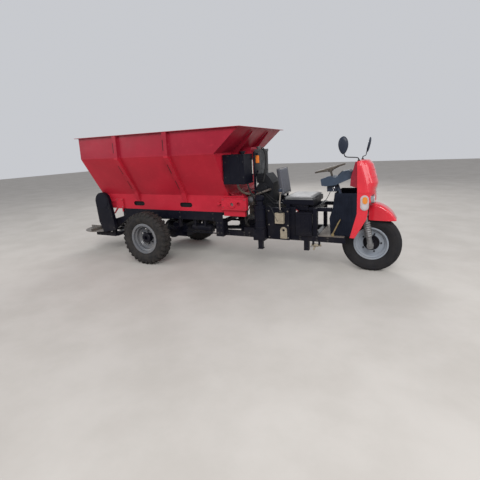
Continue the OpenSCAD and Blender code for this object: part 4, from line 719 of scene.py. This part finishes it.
def make_front_tyre():
    """The front tyre with zigzag grooves round its tread, notches on its shoulders and rings on its walls."""
    low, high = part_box("front_tyre")
    centre = Vector([(l + h) / 2 for l, h in zip(low, high)])
    outer = (high[2] - low[2]) / 2
    half = (high[1] - low[1]) / 2
    side = [(TYRE_FOOT_R + rise, share * half, "wall") for rise, share in TYRE_WALL]
    side += [(outer - depth, share * half, kind) for depth, share, kind in TYRE_SHOULDER]
    line = [(r, -y, kind) for r, y, kind in side]
    for groove in TREAD_GROOVES:
        top = outer - TREAD_CROWN * groove * groove
        line += [(top, groove - GROOVE_BRIM, "zigzag"), (top - GROOVE_DEPTH, groove - GROOVE_HALF, "zigzag"),
                 (top - GROOVE_DEPTH, groove + GROOVE_HALF, "zigzag"), (top, groove + GROOVE_BRIM, "zigzag")]
    line += reversed(side)
    rings = []
    for part in range(TYRE_PARTS):
        angle = 2 * math.pi * part / TYRE_PARTS
        phase = part % ZIGZAG_PARTS
        wave = (abs(phase / ZIGZAG_PARTS - 0.5) * 4 - 1) * ZIGZAG
        notch = NOTCH_DEPTH if phase < NOTCH_PARTS else 0.0
        ring = []
        for r, y, kind in line:
            if kind == "zigzag":
                y += wave
            if kind == "shoulder":
                r -= notch
            ring.append(centre + Vector((r * math.cos(angle), y, r * math.sin(angle))))
        rings.append(ring)

    def build(shape):
        grid = skin(shape, rings, True)
        count = len(line)
        for k in range(count):
            after = (k + 1) % count
            shape.faces.new((grid[-1][k], grid[-1][after], grid[0][after], grid[0][k]))
    tyre = built("front_tyre_tread", build, "tyre", body="front_wheel", smooth=40)
    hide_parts("front_tyre")


# Slots, lamps and the driver's place

RIBS = (-0.330, 0.575)


def mirror_copy(shape):
    """Adds the machine's other side to what a shape holds."""
    other = bmesh.ops.duplicate(shape, geom=shape.verts[:] + shape.edges[:] + shape.faces[:])["geom"]
    for item in other:
        if isinstance(item, bmesh.types.BMVert):
            item.co.y = -item.co.y
    bmesh.ops.reverse_faces(shape, faces=[item for item in other if isinstance(item, bmesh.types.BMFace)])


def make_slot_shadows():
    """Near-black plates painted as the shadow in the slots along the ribs' rear edges, and behind the slots in the
    skirts.
    """
    wall, crease = 0.810, 1.620
    foot, head = Vector((0.506, 1.070)), Vector((0.854, 1.600))
    lean = math.degrees(math.atan2(head.x - foot.x, head.y - foot.y))

    def build(shape):
        for x in RIBS:
            start = x - 0.036
            blocks(shape, 0, (start + 0.0012, wall + 0.004, crease + 0.0712,
                              start + 0.0118, wall + 0.0415, crease + 0.2188))
            for along, deep in ((0.0646, 0.0165), (0.3548, 0.0262)):
                pose = Matrix.Translation(at(start, *foot)) @ turn(-lean, "X")
                block(shape, (0.0012, -deep, along + 0.002), (0.0118, -0.0013, along + 0.162), pose)
            blocks(shape, 0, (x - 0.135, 0.4240, 0.832, x + 0.135, 0.4280, 0.930))
        mirror_copy(shape)
    built("rib_slot_shadow_plates", build, "black_paint", trim["shadow"])


# Place along the fairing, height, outline, thickness and softened edge of each side lamp
SIDE_LAMPS = {
    "amber": (3.100, 0.980, rounded_loop(0.029, 0.044, 0.0285), 0.0065, 0.0026),
    "clear": (3.095, 0.902, rounded_loop(0.032, 0.031, 0.0305), 0.005, 0.0022),
}
SIDE_LAMP_Y = 0.3161


def make_side_lamps():
    for label, side in (("right", -1), ("left", 1)):
        outwards = turn(90 + 90 * side, "Z") @ turn(90, "X")
        for kind, (x, z, outline, thickness, bevel) in SIDE_LAMPS.items():
            pose = Matrix.Translation(at(x, side * SIDE_LAMP_Y, z)) @ outwards
            flat_plate(f"{kind}_lens_{label}", outline, thickness, pose, "lamp_lens", trim[kind], bevel)


def make_head_lamp_rings():
    def build(shape):
        for y in (-0.195, 0.195):
            turned(shape, at(3.150, y, 0.985), FRONT,
                   [(0, 0.0562), (0.040, 0.0562), (0.044, 0.0575), (0.047, 0.0565), (0.0475, 0.053)], 48)
    built("head_lamp_rings", build, "alloy", trim["chrome"])


def make_lever():
    def knob(shape):
        turned(shape, at(2.066, -0.446, 1.0695), UP,
               [(0, 0.0135), (0.002, 0.0158), (0.014, 0.0175), (0.034, 0.0262), (0.040, 0.0270), (0.052, 0.0266),
                (0.060, 0.0222), (0.0645, 0.0188), (0.0665, 0.012)], 40)
    built("lever_knob", knob, "black_plastic")

    def gaiter(shape):
        turned(shape, at(2.060, -0.446, 0.8125), UP,
               [(0, 0.026), (0.006, 0.0275), (0.011, 0.020), (0.016, 0.024), (0.021, 0.017), (0.026, 0.020),
                (0.031, 0.014), (0.036, 0.0165), (0.042, 0.0095)])
    built("lever_gaiter", gaiter, "black_plastic", trim["hose"])


def make_tank_details():
    tube = [at(1.640, -0.345, z) for z in (1.322, 1.39, 1.46, 1.524)]
    rods("sight_tube", [tube], 0.0072, trim["pale_tube"], bent=True)

    def build(shape):
        for z in (1.315, 1.530):
            turned(shape, at(1.640, -0.345, z - 0.012), UP,
                   [(0, 0.0085), (0.002, 0.0105), (0.022, 0.0105), (0.024, 0.0085)], 6)
        for x in (1.355, 1.615):
            for z in (1.30, 1.50):
                hex_bolt(shape, at(x, -0.6003, z), RIGHT, 0.007)
        blocks(shape, 0.001, *((x + 0.004, -0.6065, 1.572, x + 0.020, -0.6038, 1.586) for x in (1.382, 1.532)))
    built("tank_fittings", build, "black_paint", trim["dark_bolt"])


def make_console_details():
    def housing(shape):
        blocks(shape, 0.006, (2.5985, -0.0918, 1.0565, 2.7215, 0.0918, 1.142))
        blocks(shape, 0.001, *((2.615, -0.0935, z, 2.650, -0.0905, z + 0.005) for z in (1.075, 1.087, 1.099)))
    built("switch_housing", housing, "black_plastic")

    def key(shape):
        turned(shape, at(2.688, -0.0912, 1.103), RIGHT,
               [(0, 0.0165), (0.004, 0.0165), (0.006, 0.015), (0.006, 0.011), (0.011, 0.0105), (0.012, 0.009)])
        blocks(shape, 0.001, (2.6865, -0.121, 1.094, 2.6895, -0.102, 1.112))
        turned(shape, at(2.688, -0.116, 1.088), DOWN,
               [(0, 0.004), (0.010, 0.010), (0.024, 0.010), (0.030, 0.004)], 20)
    built("key_and_lock", key, "alloy", trim["chrome"])


def make_gauge():
    to_driver = Vector((-0.712, 0, 0.702))
    centre = at(2.7625, 0, 1.286) - to_driver * 0.002
    face = centre + to_driver * 0.0098

    def bezel(shape):
        turned(shape, centre, to_driver,
               [(0, 0.047), (0.010, 0.047), (0.0145, 0.0445), (0.0145, 0.0395), (0.010, 0.0385)], 48)
    built("gauge", bezel, "black_plastic", trim["dial"])

    def marks(shape):
        stand = facing(face, to_driver)
        for k in range(9):
            block(shape, (-0.0008, 0.028, 0), (0.0008, 0.0345 if k % 2 else 0.0355, 0.0006),
                  stand @ turn(-120 + 30 * k, "Z"))
        block(shape, (-0.0012, -0.006, 0), (0.0012, 0.027, 0.0012), stand @ turn(62, "Z"))
        turned(shape, face, to_driver, [(0, 0.0045), (0.002, 0.004)], 20)
    built("gauge_marks", marks, "lamp_lens", trim["mark"])


SHIELD_FOOT = 0.53
SHIELD_HEAD = 1.035
# Place, lowest and highest point of each rib on the shield's sides
SIDE_RIBS = [(2.708, SHIELD_FOOT, 0.815), (2.738, SHIELD_FOOT, 1.015)]
SIDE_RIBS += [(x, SHIELD_FOOT, SHIELD_HEAD) for x in (2.768, 2.798, 2.828, 2.858, 2.888, 2.912)]
SIDE_RIBS += [(2.945, 0.68, SHIELD_HEAD)]


def make_shield_ribs():
    lines = [[at(x, y, low), at(x, y, high)] for x, low, high in SIDE_RIBS for y in (-0.2926, 0.2926)]
    for y in (-0.258, -0.196, -0.134, 0.134, 0.196, 0.258):
        lines.append([at(2.7375, y, 1.045), at(2.7145, y, 0.873), at(2.6735, y, 0.737), at(2.6890, y, SHIELD_FOOT)])
    rods("shield_ribs", lines, 0.0058, tones["shield"])
    rims = [[at(3.000, y, 1.0600), at(2.7380, y, 1.0600), at(2.7150, y, 0.873), at(2.6740, y, 0.737),
             at(2.6900, y, 0.514)] for y in (-0.2912, 0.2912)]
    rims.append([at(2.7378, -0.29, 1.060), at(2.7378, 0.29, 1.060)])
    rods("shield_edge", rims, 0.0048, tones["shield"])


# Fairing, fender and mirrors


def between(table, value, column):
    """A column's value between the rows of a table that falls or rises along its first column."""
    for row, after in zip(table, table[1:]):
        if min(row[0], after[0]) <= value <= max(row[0], after[0]):
            share = (value - row[0]) / (after[0] - row[0])
            return row[column] + share * (after[column] - row[column])
    return table[0][column] if abs(value - table[0][0]) < abs(value - table[-1][0]) else table[-1][column]


def smooth(low, high, value):
    share = max(0.0, min(1.0, (value - low) / (high - low)))
    return share * share * (3 - 2 * share)


# Height, rear edge, edge of the front panel, front, half width
COWL = [(1.456, 2.995, 3.045, 3.118, 0.250), (1.400, 2.996, 3.060, 3.165, 0.265),
        (1.180, 3.003, 3.127, 3.225, 0.285), (1.080, 3.006, 3.140, 3.200, 0.300),
        (0.950, 3.005, 3.150, 3.208, 0.300)]
COWL_SEAM = 1.064
COWL_TOP = 1.4558
COWL_ROWS = 96
COWL_COLUMNS = 96
COWL_SHEET = 0.0024
PANEL_RISE = 0.0036
FIELD_SINK = 0.0030
BESIDE_PANEL = 9.0
# Sunk fields on the front panel: lowest, highest, half width
COWL_FIELDS = ((1.352, 1.398, 0.125), (1.262, 1.338, 0.165), (1.166, 1.248, 0.180))


def cowl_line(z):
    """The fairing's outline at a height as points, each with its way out and its place on the front panel."""
    rear, edge, front, half = [between(COWL, z, k) for k in (1, 2, 3, 4)]
    line = [(rear + (edge - 0.020 - rear) * k / 6, -half, -BESIDE_PANEL) for k in range(7)]
    for k in range(COWL_COLUMNS + 1):
        u = -1 + 2 * k / COWL_COLUMNS
        line.append((edge + (front - edge) * (1 - abs(u) ** 2.6), (half - 0.025) * u, u))
    line += [(edge - 0.020 + (rear - edge + 0.020) * k / 6, half, BESIDE_PANEL) for k in range(7)]
    points = []
    for k, (x, y, u) in enumerate(line):
        before = line[max(0, k - 1)]
        after = line[min(len(line) - 1, k + 1)]
        along = Vector((after[0] - before[0], after[1] - before[1], 0)).normalized()
        points.append((Vector((x, y, z)), Vector((along.y, -along.x, 0)), u))
    return points


def cowl_rise(z, y, u):
    """How far the sheet stands off the fairing at a point."""
    if abs(u) > 1:
        return COWL_SHEET
    panel = 1 - smooth(0.80, 0.87, abs(u))
    panel *= smooth(-0.004, 0.004, z - (1.092 + abs(y) * 0.22)) * (1 - smooth(1.430, 1.438, z))
    sunk = 0.0
    for low, high, half in COWL_FIELDS:
        inside = smooth(low - 0.003, low + 0.003, z) * (1 - smooth(high - 0.003, high + 0.003, z))
        sunk = max(sunk, inside * (1 - smooth(half - 0.004, half + 0.004, abs(y))))
    return COWL_SHEET + PANEL_RISE * panel - FIELD_SINK * sunk * panel


def make_cowl():
    """The upper shell's pressed sheet: a raised front panel with three sunk fields, and a lip over the lower shell."""
    levels = [COWL_SEAM + (COWL_TOP - COWL_SEAM) * k / COWL_ROWS for k in range(COWL_ROWS + 1)]

    def build(shape):
        rows = [[at(*(point + out * -0.001)) for point, out, u in cowl_line(COWL_SEAM)]]
        for z in levels:
            rows.append([at(*(point + out * cowl_rise(z, point.y, u))) for point, out, u in cowl_line(z)])
        tuck = Vector((0, 0, 0.0028))
        rows.append([at(*(point + out * -0.004)) + tuck for point, out, u in cowl_line(levels[-1])])
        grid = skin(shape, rows)
        shape.faces.new(grid[-1])
        for side, inwards in ((0, 0.0034), (-1, -0.0034)):
            tucked = [shape.verts.new(row[side].co + Vector((0.0005, inwards, 0))) for row in grid]
            for k in range(len(grid) - 1):
                shape.faces.new((grid[k][side], grid[k + 1][side], tucked[k + 1], tucked[k]))
        face_outwards(shape)
    built("upper_cowl", build, "red_paint", tones["front"], smooth=50)


# Place along the fender, height of its top, half width
FENDER = [(3.134, 0.907, 0.109), (3.190, 0.915, 0.125), (3.300, 0.880, 0.135), (3.400, 0.800, 0.130),
          (3.453, 0.716, 0.110)]
FENDER_BOTTOM = 0.6975
FENDER_SHEET = 0.003
FENDER_PLACES = 44
TOP_DROP = 0.003


def curved(table, value, column):
    """A smooth line through a table's rows."""
    last = len(table) - 1
    k = next((k for k in range(last) if table[k][0] <= value <= table[k + 1][0]), last - 1)
    row, after = table[k], table[k + 1]
    before, beyond = table[max(0, k - 1)], table[min(last, k + 2)]
    step = after[0] - row[0]
    share = max(0.0, min(1.0, (value - row[0]) / step))
    low = (after[column] - before[column]) / (after[0] - before[0]) * step
    high = (beyond[column] - row[column]) / (beyond[0] - row[0]) * step
    a = 2 * share ** 3 - 3 * share ** 2 + 1
    b = share ** 3 - 2 * share ** 2 + share
    c = -2 * share ** 3 + 3 * share ** 2
    d = share ** 3 - share ** 2
    return a * row[column] + b * low + c * after[column] + d * high


def fender_section(x, inset=0.0):
    """Half of the fender's section at a place, from its lower edge up to the middle of its top."""
    top = curved(FENDER, x, 1) - inset
    half = curved(FENDER, x, 2) - inset
    height = top - FENDER_BOTTOM
    radius = min(0.042, height * 0.7)
    shoulder = half - 0.07 * (height - radius)
    line = [(half - (half - shoulder) * k / 6, FENDER_BOTTOM + (height - radius) * k / 6) for k in range(6)]
    for k in range(9):
        angle = math.radians(90 * k / 8)
        line.append((shoulder - radius + radius * math.cos(angle),
                     top - TOP_DROP - radius + radius * math.sin(angle)))
    for k in range(1, 7):
        y = (shoulder - radius) * (1 - k / 6)
        line.append((y, top - TOP_DROP * (y / max(0.001, shoulder - radius)) ** 2))
    return line


def arch(x, half):
    """Half a section's points at a place, carried on over the other side."""
    return [at(x, -y, z) for y, z in half] + [at(x, y, z) for y, z in reversed(half[:-1])]


def make_fender():
    start, end = FENDER[0][0], FENDER[-1][0]
    places = [start + (end - start) * (1 - (1 - k / FENDER_PLACES) ** 1.6) for k in range(FENDER_PLACES + 1)]

    def sheet(shape, inset):
        grid = skin(shape, [arch(min(x, end - inset), fender_section(x, inset)) for x in places])
        shape.faces.new(grid[-1])
        return grid

    def build(shape):
        outer = sheet(shape, 0.0)
        inner = sheet(shape, FENDER_SHEET)
        for k in range(len(places) - 1):
            for side in (0, -1):
                shape.faces.new((outer[k][side], outer[k + 1][side], inner[k + 1][side], inner[k][side]))
        for k in range(len(outer[0]) - 1):
            shape.faces.new((outer[0][k], outer[0][k + 1], inner[0][k + 1], inner[0][k]))
        shape.faces.new((outer[-1][0], outer[-1][-1], inner[-1][-1], inner[-1][0]))
        face_outwards(shape)
    shell = built("fender_shell", build, "red_paint", tones["front"], "fork", 50)
    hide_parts("front_fender")
    edge_z = FENDER_BOTTOM + 0.003
    right, left = [[at(x, side * fender_section(x)[0][0], edge_z) for x in places] for side in (-1, 1)]
    rolled = [right, left, [right[-1], left[-1]], arch(start, fender_section(start))]
    rods("fender_rolled_edge", rolled, 0.0036, tones["front"], "fork")

    def stay(shape):
        pose = Matrix.Translation(at(3.085, 0, 0.760)) @ turn(-10, "Y")
        block(shape, (0.0453, -0.040, 0.0), (0.0513, 0.040, 0.130), pose, 0.001)
        block(shape, (0.0453, -0.040, 0.122), (0.0873, 0.040, 0.130), pose, 0.001)
        for y in (-0.024, 0.024):
            hex_bolt(shape, pose @ Vector((0.0513, y, 0.020)), pose.to_3x3() @ Vector(FRONT), 0.006)
    built("fender_stay", stay, "black_paint", body="fork")


def mirror_outline(scale, steps=56):
    """A mirror's outline as points, a little wider at its top."""
    points = []
    for k in range(steps):
        angle = 2 * math.pi * k / steps
        up = math.sin(angle)
        width = 0.0575 * math.cos(angle) * (1 + 0.14 * up - 0.10 * up * up)
        points.append((width * scale, 0.1045 * up * scale))
    return points


# Height over the glass and share of the outline
MIRROR_PROFILE = ((0.0005, 0.965), (0.0, 0.985), (0.003, 1.0), (0.009, 0.995), (0.015, 0.955), (0.020, 0.87),
                  (0.0238, 0.73), (0.0262, 0.55), (0.0275, 0.33), (0.028, 0.12))
MIRROR_ARMS = {
    "right": [(3.010, -0.220, 1.462), (3.010, -0.220, 1.490), (2.990, -0.262, 1.502), (2.905, -0.405, 1.512),
              (2.880, -0.444, 1.520), (2.866, -0.449, 1.555), (2.860, -0.450, 1.600)],
    "left": [(3.010, 0.220, 1.462), (3.010, 0.220, 1.492), (3.014, 0.270, 1.497), (3.026, 0.395, 1.499),
             (3.034, 0.430, 1.512), (3.040, 0.449, 1.560), (3.049, 0.450, 1.600)],
}


def make_mirror(label, pose):
    arm = [at(*point) for point in MIRROR_ARMS[label]]

    def housing(shape):
        closed_skin(shape, [[pose @ Vector((x, y, height)) for x, y in mirror_outline(scale)]
                            for height, scale in MIRROR_PROFILE])
        face_outwards(shape)
    shell = built(f"mirror_housing_{label}", housing, "black_plastic", smooth=50)
    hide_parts("mirrors")
    flat_plate(f"mirror_glass_{label}", mirror_outline(0.93), 0.0012, pose @ Matrix.Translation((0, 0, -0.0009)),
               "black_plastic", trim["glass"])
    rods(f"mirror_arm_{label}", [arm], 0.0062, trim["dark_bolt"], bent=True)

    def bosses(shape):
        turned(shape, at(3.010, MIRROR_ARMS[label][0][1], 1.4585), UP,
               [(-0.0025, 0.017), (0.004, 0.017), (0.008, 0.0125), (0.016, 0.0105), (0.018, 0.008)], 28)
        turned(shape, arm[-1] - Vector((0, 0, 0.026)), UP,
               [(0, 0.008), (0.004, 0.0105), (0.026, 0.0105), (0.031, 0.008)], 24)
    built(f"mirror_bosses_{label}", bosses, "black_plastic", trim["hose"])


def make_mirrors():
    make_mirror("right", Matrix.Translation(at(2.857, -0.4400, 1.654)) @ turn(90, "X"))
    make_mirror("left", Matrix.Translation(at(3.066, 0.450, 1.645)) @ turn(12, "Y")
                @ Matrix.Translation((-0.010, 0, 0)) @ turn(90, "Z") @ turn(90, "X"))


# Lines and small fittings round the engine

# Finish, radius and points of each hose and cable, counted from the rear axle
ENGINE_LINES = {
    "suction_hose": ("brown_hose", 0.017, [
        (1.469, -0.470, 1.207), (1.469, -0.470, 1.165), (1.480, -0.440, 1.115), (1.512, -0.392, 1.068),
        (1.545, -0.345, 1.046), (1.578, -0.300, 1.042), (1.595, -0.286, 1.033)]),
    "return_hose": ("hose", 0.011, [
        (1.600, -0.430, 1.207), (1.602, -0.430, 1.150), (1.640, -0.415, 1.060), (1.668, -0.380, 0.960),
        (1.672, -0.330, 0.870), (1.665, -0.260, 0.800), (1.690, -0.200, 0.770)]),
    "radiator_hose": ("hose", 0.016, [
        (1.6805, -0.085, 1.665), (1.720, -0.088, 1.655), (1.752, -0.100, 1.560), (1.757, -0.128, 1.420),
        (1.745, -0.150, 1.300), (1.716, -0.160, 1.195)]),
    "fuel_line": ("hose", 0.0055, [
        (1.630, -0.520, 1.207), (1.632, -0.520, 1.170), (1.690, -0.470, 1.110), (1.760, -0.330, 1.080),
        (1.800, -0.260, 1.010), (1.860, -0.215, 0.930), (1.900, -0.205, 0.880)]),
    "starter_cable": ("red_cable", 0.0065, [
        (2.262, -0.300, 0.816), (2.215, -0.300, 0.852), (2.130, -0.290, 0.842), (2.060, -0.255, 0.802),
        (2.010, -0.226, 0.762), (1.990, -0.205, 0.740)]),
    "ground_cable": ("cable", 0.0055, [
        (2.262, -0.200, 0.816), (2.205, -0.205, 0.858), (2.120, -0.225, 0.838), (2.050, -0.232, 0.742),
        (2.000, -0.206, 0.690)]),
    "throttle_cable": ("cable", 0.0042, [
        (2.640, -0.070, 1.058), (2.620, -0.110, 0.990), (2.560, -0.210, 0.900), (2.440, -0.262, 0.842),
        (2.250, -0.285, 0.872), (2.060, -0.285, 0.890), (1.900, -0.262, 0.960), (1.800, -0.235, 1.035),
        (1.760, -0.226, 1.060)]),
    "shift_cable": ("cable", 0.0048, [
        (2.028, -0.474, 0.700), (1.990, -0.474, 0.760), (1.930, -0.462, 0.905), (1.850, -0.420, 0.915),
        (1.720, -0.320, 0.800), (1.640, -0.300, 0.700), (1.575, -0.201, 0.600)]),
    "lamp_wiring": ("cable", 0.0045, [
        (2.700, 0.075, 1.056), (2.740, 0.085, 1.010), (2.800, 0.110, 0.975), (2.910, 0.150, 0.985),
        (3.040, 0.185, 0.990), (3.150, 0.195, 0.990)]),
}
PUMP_LINES = {
    "drain_hose": ("hose", 0.016, [
        (1.545, -0.300, 0.905), (1.530, -0.318, 0.870), (1.512, -0.350, 0.800), (1.505, -0.362, 0.720),
        (1.512, -0.352, 0.640), (1.530, -0.300, 0.568)]),
    "pressure_hose": ("hose", 0.0125, [
        (1.648, -0.300, 0.985), (1.690, -0.306, 0.984), (1.715, -0.322, 0.930), (1.690, -0.345, 0.850),
        (1.600, -0.352, 0.760), (1.535, -0.335, 0.690), (1.500, -0.270, 0.640), (1.480, -0.203, 0.600)]),
    "lift_hose": ("hose", 0.0095, [
        (1.648, -0.268, 0.935), (1.680, -0.268, 0.930), (1.690, -0.285, 0.860), (1.650, -0.330, 0.780),
        (1.575, -0.356, 0.720), (1.520, -0.352, 0.650), (1.470, -0.280, 0.610), (1.440, -0.198, 0.560)]),
}


def make_lines(table):
    for name, (finish, radius, points) in table.items():
        rods(name, [[at(*point) for point in points]], radius, trim[finish], bent=True)


def clamp(shape, place, direction, radius):
    """A hose clamp: a band and its screw."""
    turned(shape, place - Vector(direction).normalized() * 0.005, direction,
           [(0, radius), (0.0005, radius + 0.0014), (0.0095, radius + 0.0014), (0.010, radius)], 28)
    turned(shape, place + Vector((-0.006, 0, radius + 0.003)), FRONT, [(0, 0.003), (0.012, 0.003)], 10)


def make_clamps():
    def build(shape):
        clamp(shape, at(1.469, -0.470, 1.186), UP, 0.0172)
        clamp(shape, at(1.600, -0.430, 1.186), UP, 0.0112)
        clamp(shape, at(1.700, -0.0865, 1.660), (1, -0.05, -0.25), 0.0165)
    built("hose_clamps", build, "alloy", trim["clamp"])


def make_orange_plate():
    outline = [(0.0, 0.0), (0.054, 0.0), (0.054, 0.106), (0.0, 0.106)]
    pose = Matrix.Translation(at(1.613, -0.1552, 1.462)) @ turn(90, "X")
    flat_plate("radiator_flap", outline, 0.008, pose, "black_plastic", trim["orange"], 0.002)


def make_bay_parts():
    """What fills the space between the tank, the engine and the seat."""
    def irons(shape):
        blocks(shape, 0.001, (1.648, -0.312, 1.040, 1.656, -0.262, 1.622),
               (1.640, -0.312, 1.040, 1.649, -0.306, 1.622),
               *((1.642, -0.308, z, 1.648, -0.154, z + 0.030) for z in (1.330, 1.575)),
               (1.560, -0.312, 1.034, 1.656, -0.262, 1.041))
        for z in (1.345, 1.590):
            hex_bolt(shape, at(1.656, -0.286, z), FRONT, 0.008)
    built("tank_irons", irons, "black_paint")

    def box(shape):
        blocks(shape, 0.005, (2.166, -0.290, 0.822, 2.394, 0.290, 0.9052))
        blocks(shape, 0.003, (2.162, -0.294, 0.878, 2.398, 0.294, 0.890))
        blocks(shape, 0.002, *((2.394, y - 0.018, 0.866, 2.402, y + 0.018, 0.900) for y in (-0.16, 0.16)),
               *((x, -0.297, 0.868, x + 0.04, -0.288, 0.897) for x in (2.22, 2.31)))
    built("tool_box", box, "black_paint")

    def casting(shape):
        turned(shape, at(1.585, -0.3248, 0.962), RIGHT,
               [(0, 0.041), (0.006, 0.041), (0.008, 0.036), (0.016, 0.035), (0.019, 0.028), (0.020, 0.018),
                (0.027, 0.017), (0.028, 0.010)], 36)
        for k in range(6):
            angle = math.radians(60 * k + 30)
            spot = at(1.585 + 0.0375 * math.cos(angle), -0.3310, 0.962 + 0.0375 * math.sin(angle))
            hex_bolt(shape, spot, RIGHT, 0.0042)
        turned(shape, at(1.595, -0.285, 1.030), UP,
               [(0, 0.0345), (0.002, 0.0365), (0.009, 0.0365), (0.011, 0.0345)])
        turned(shape, at(1.6452, -0.300, 0.985), FRONT,
               [(0, 0.022), (0.010, 0.022), (0.012, 0.016), (0.030, 0.0155), (0.032, 0.010)], 28)
        turned(shape, at(1.6452, -0.268, 0.935), FRONT,
               [(0, 0.015), (0.012, 0.015), (0.014, 0.011), (0.024, 0.010)], 24)
    built("pump_covers", casting, "alloy")


def make_under_parts():
    """The bracket under the low rail and the brake's balance lever on it."""
    def bracket(shape):
        blocks(shape, 0.001, *((x, -0.345, 0.295, x + 0.008, -0.285, 0.4302) for x in (2.345, 2.403)),
               (2.345, -0.349, 0.295, 2.411, -0.343, 0.4302))
        turned(shape, at(2.378, -0.350, 0.335), LEFT,
               [(-0.006, 0.012), (0.0, 0.012), (0.0, 0.008), (0.070, 0.008)], 24)
        blocks(shape, 0.001, *((x, -0.340, 0.375, x + 0.020, -0.300, 0.4302) for x in (2.455, 2.535)))
    built("brake_bracket", bracket, "black_paint")

    def lever(shape):
        turned(shape, at(2.440, -0.320, 0.372), FRONT,
               [(0, 0.010), (0.004, 0.017), (0.034, 0.017), (0.036, 0.021), (0.092, 0.021), (0.094, 0.015),
                (0.126, 0.015), (0.130, 0.008)], 28)
        pose = Matrix.Translation(at(2.492, -0.320, 0.362)) @ turn(24, "Y")
        block(shape, (-0.012, -0.008, -0.062), (0.012, 0.008, 0.010), pose, 0.002)
        turned(shape, pose @ Vector((0, -0.012, -0.052)), LEFT, [(0, 0.010), (0.024, 0.010)], 20)
    built("brake_lever", lever, "worn_plate")
    coils = []
    for k in range(73):
        angle = math.radians(60 * k)
        coils.append(at(2.385 + 0.110 * k / 72, -0.312 + 0.009 * math.cos(angle), 0.345 + 0.009 * math.sin(angle)))
    rods("brake_spring", [coils], 0.0016, trim["clamp"], bent=True)


make_bolts()
make_cushions()
make_front_tyre()
make_slot_shadows()
make_side_lamps()
make_head_lamp_rings()
make_lever()
make_tank_details()
make_console_details()
make_gauge()
make_shield_ribs()
make_cowl()
make_fender()
make_mirrors()
make_lines(ENGINE_LINES)
make_clamps()
make_orange_plate()
make_bay_parts()
make_lines(PUMP_LINES)
make_under_parts()

# Floor and world

FLOOR_HALF = 30


def make_world():
    world = bpy.data.worlds.new("world")
    scene.world = world
    world.use_nodes = True
    tree = world.node_tree
    tree.nodes.clear()
    out = tree.nodes.new("ShaderNodeOutputWorld")
    sky = tree.nodes.new("ShaderNodeBackground")
    sky.inputs["Color"].default_value = (0.93, 0.95, 1.0, 1)
    sky.inputs["Strength"].default_value = 0.62
    tree.links.new(sky.outputs[0], out.inputs["Surface"])


def make_floor():
    g = Graph("floor_finish")
    tone = g.step(g.noise(1.3, 6, 0.6), 0.3, 0.7)
    material = g.surface(colour=g.mix(tone, (0.42, 0.395, 0.365), (0.47, 0.445, 0.415)), rough=0.85, specular=0.2)
    mesh = bpy.data.meshes.new("floor")
    corners = [(x * FLOOR_HALF, y * FLOOR_HALF, 0) for x, y in ((-1, -1), (1, -1), (1, 1), (-1, 1))]
    mesh.from_pydata(corners, [], [(0, 1, 2, 3)])
    mesh.materials.append(material)
    floor = bpy.data.objects.new("floor", mesh)
    scene.collection.objects.link(floor)


make_world()
make_floor()

scene.view_settings.view_transform = "Standard"
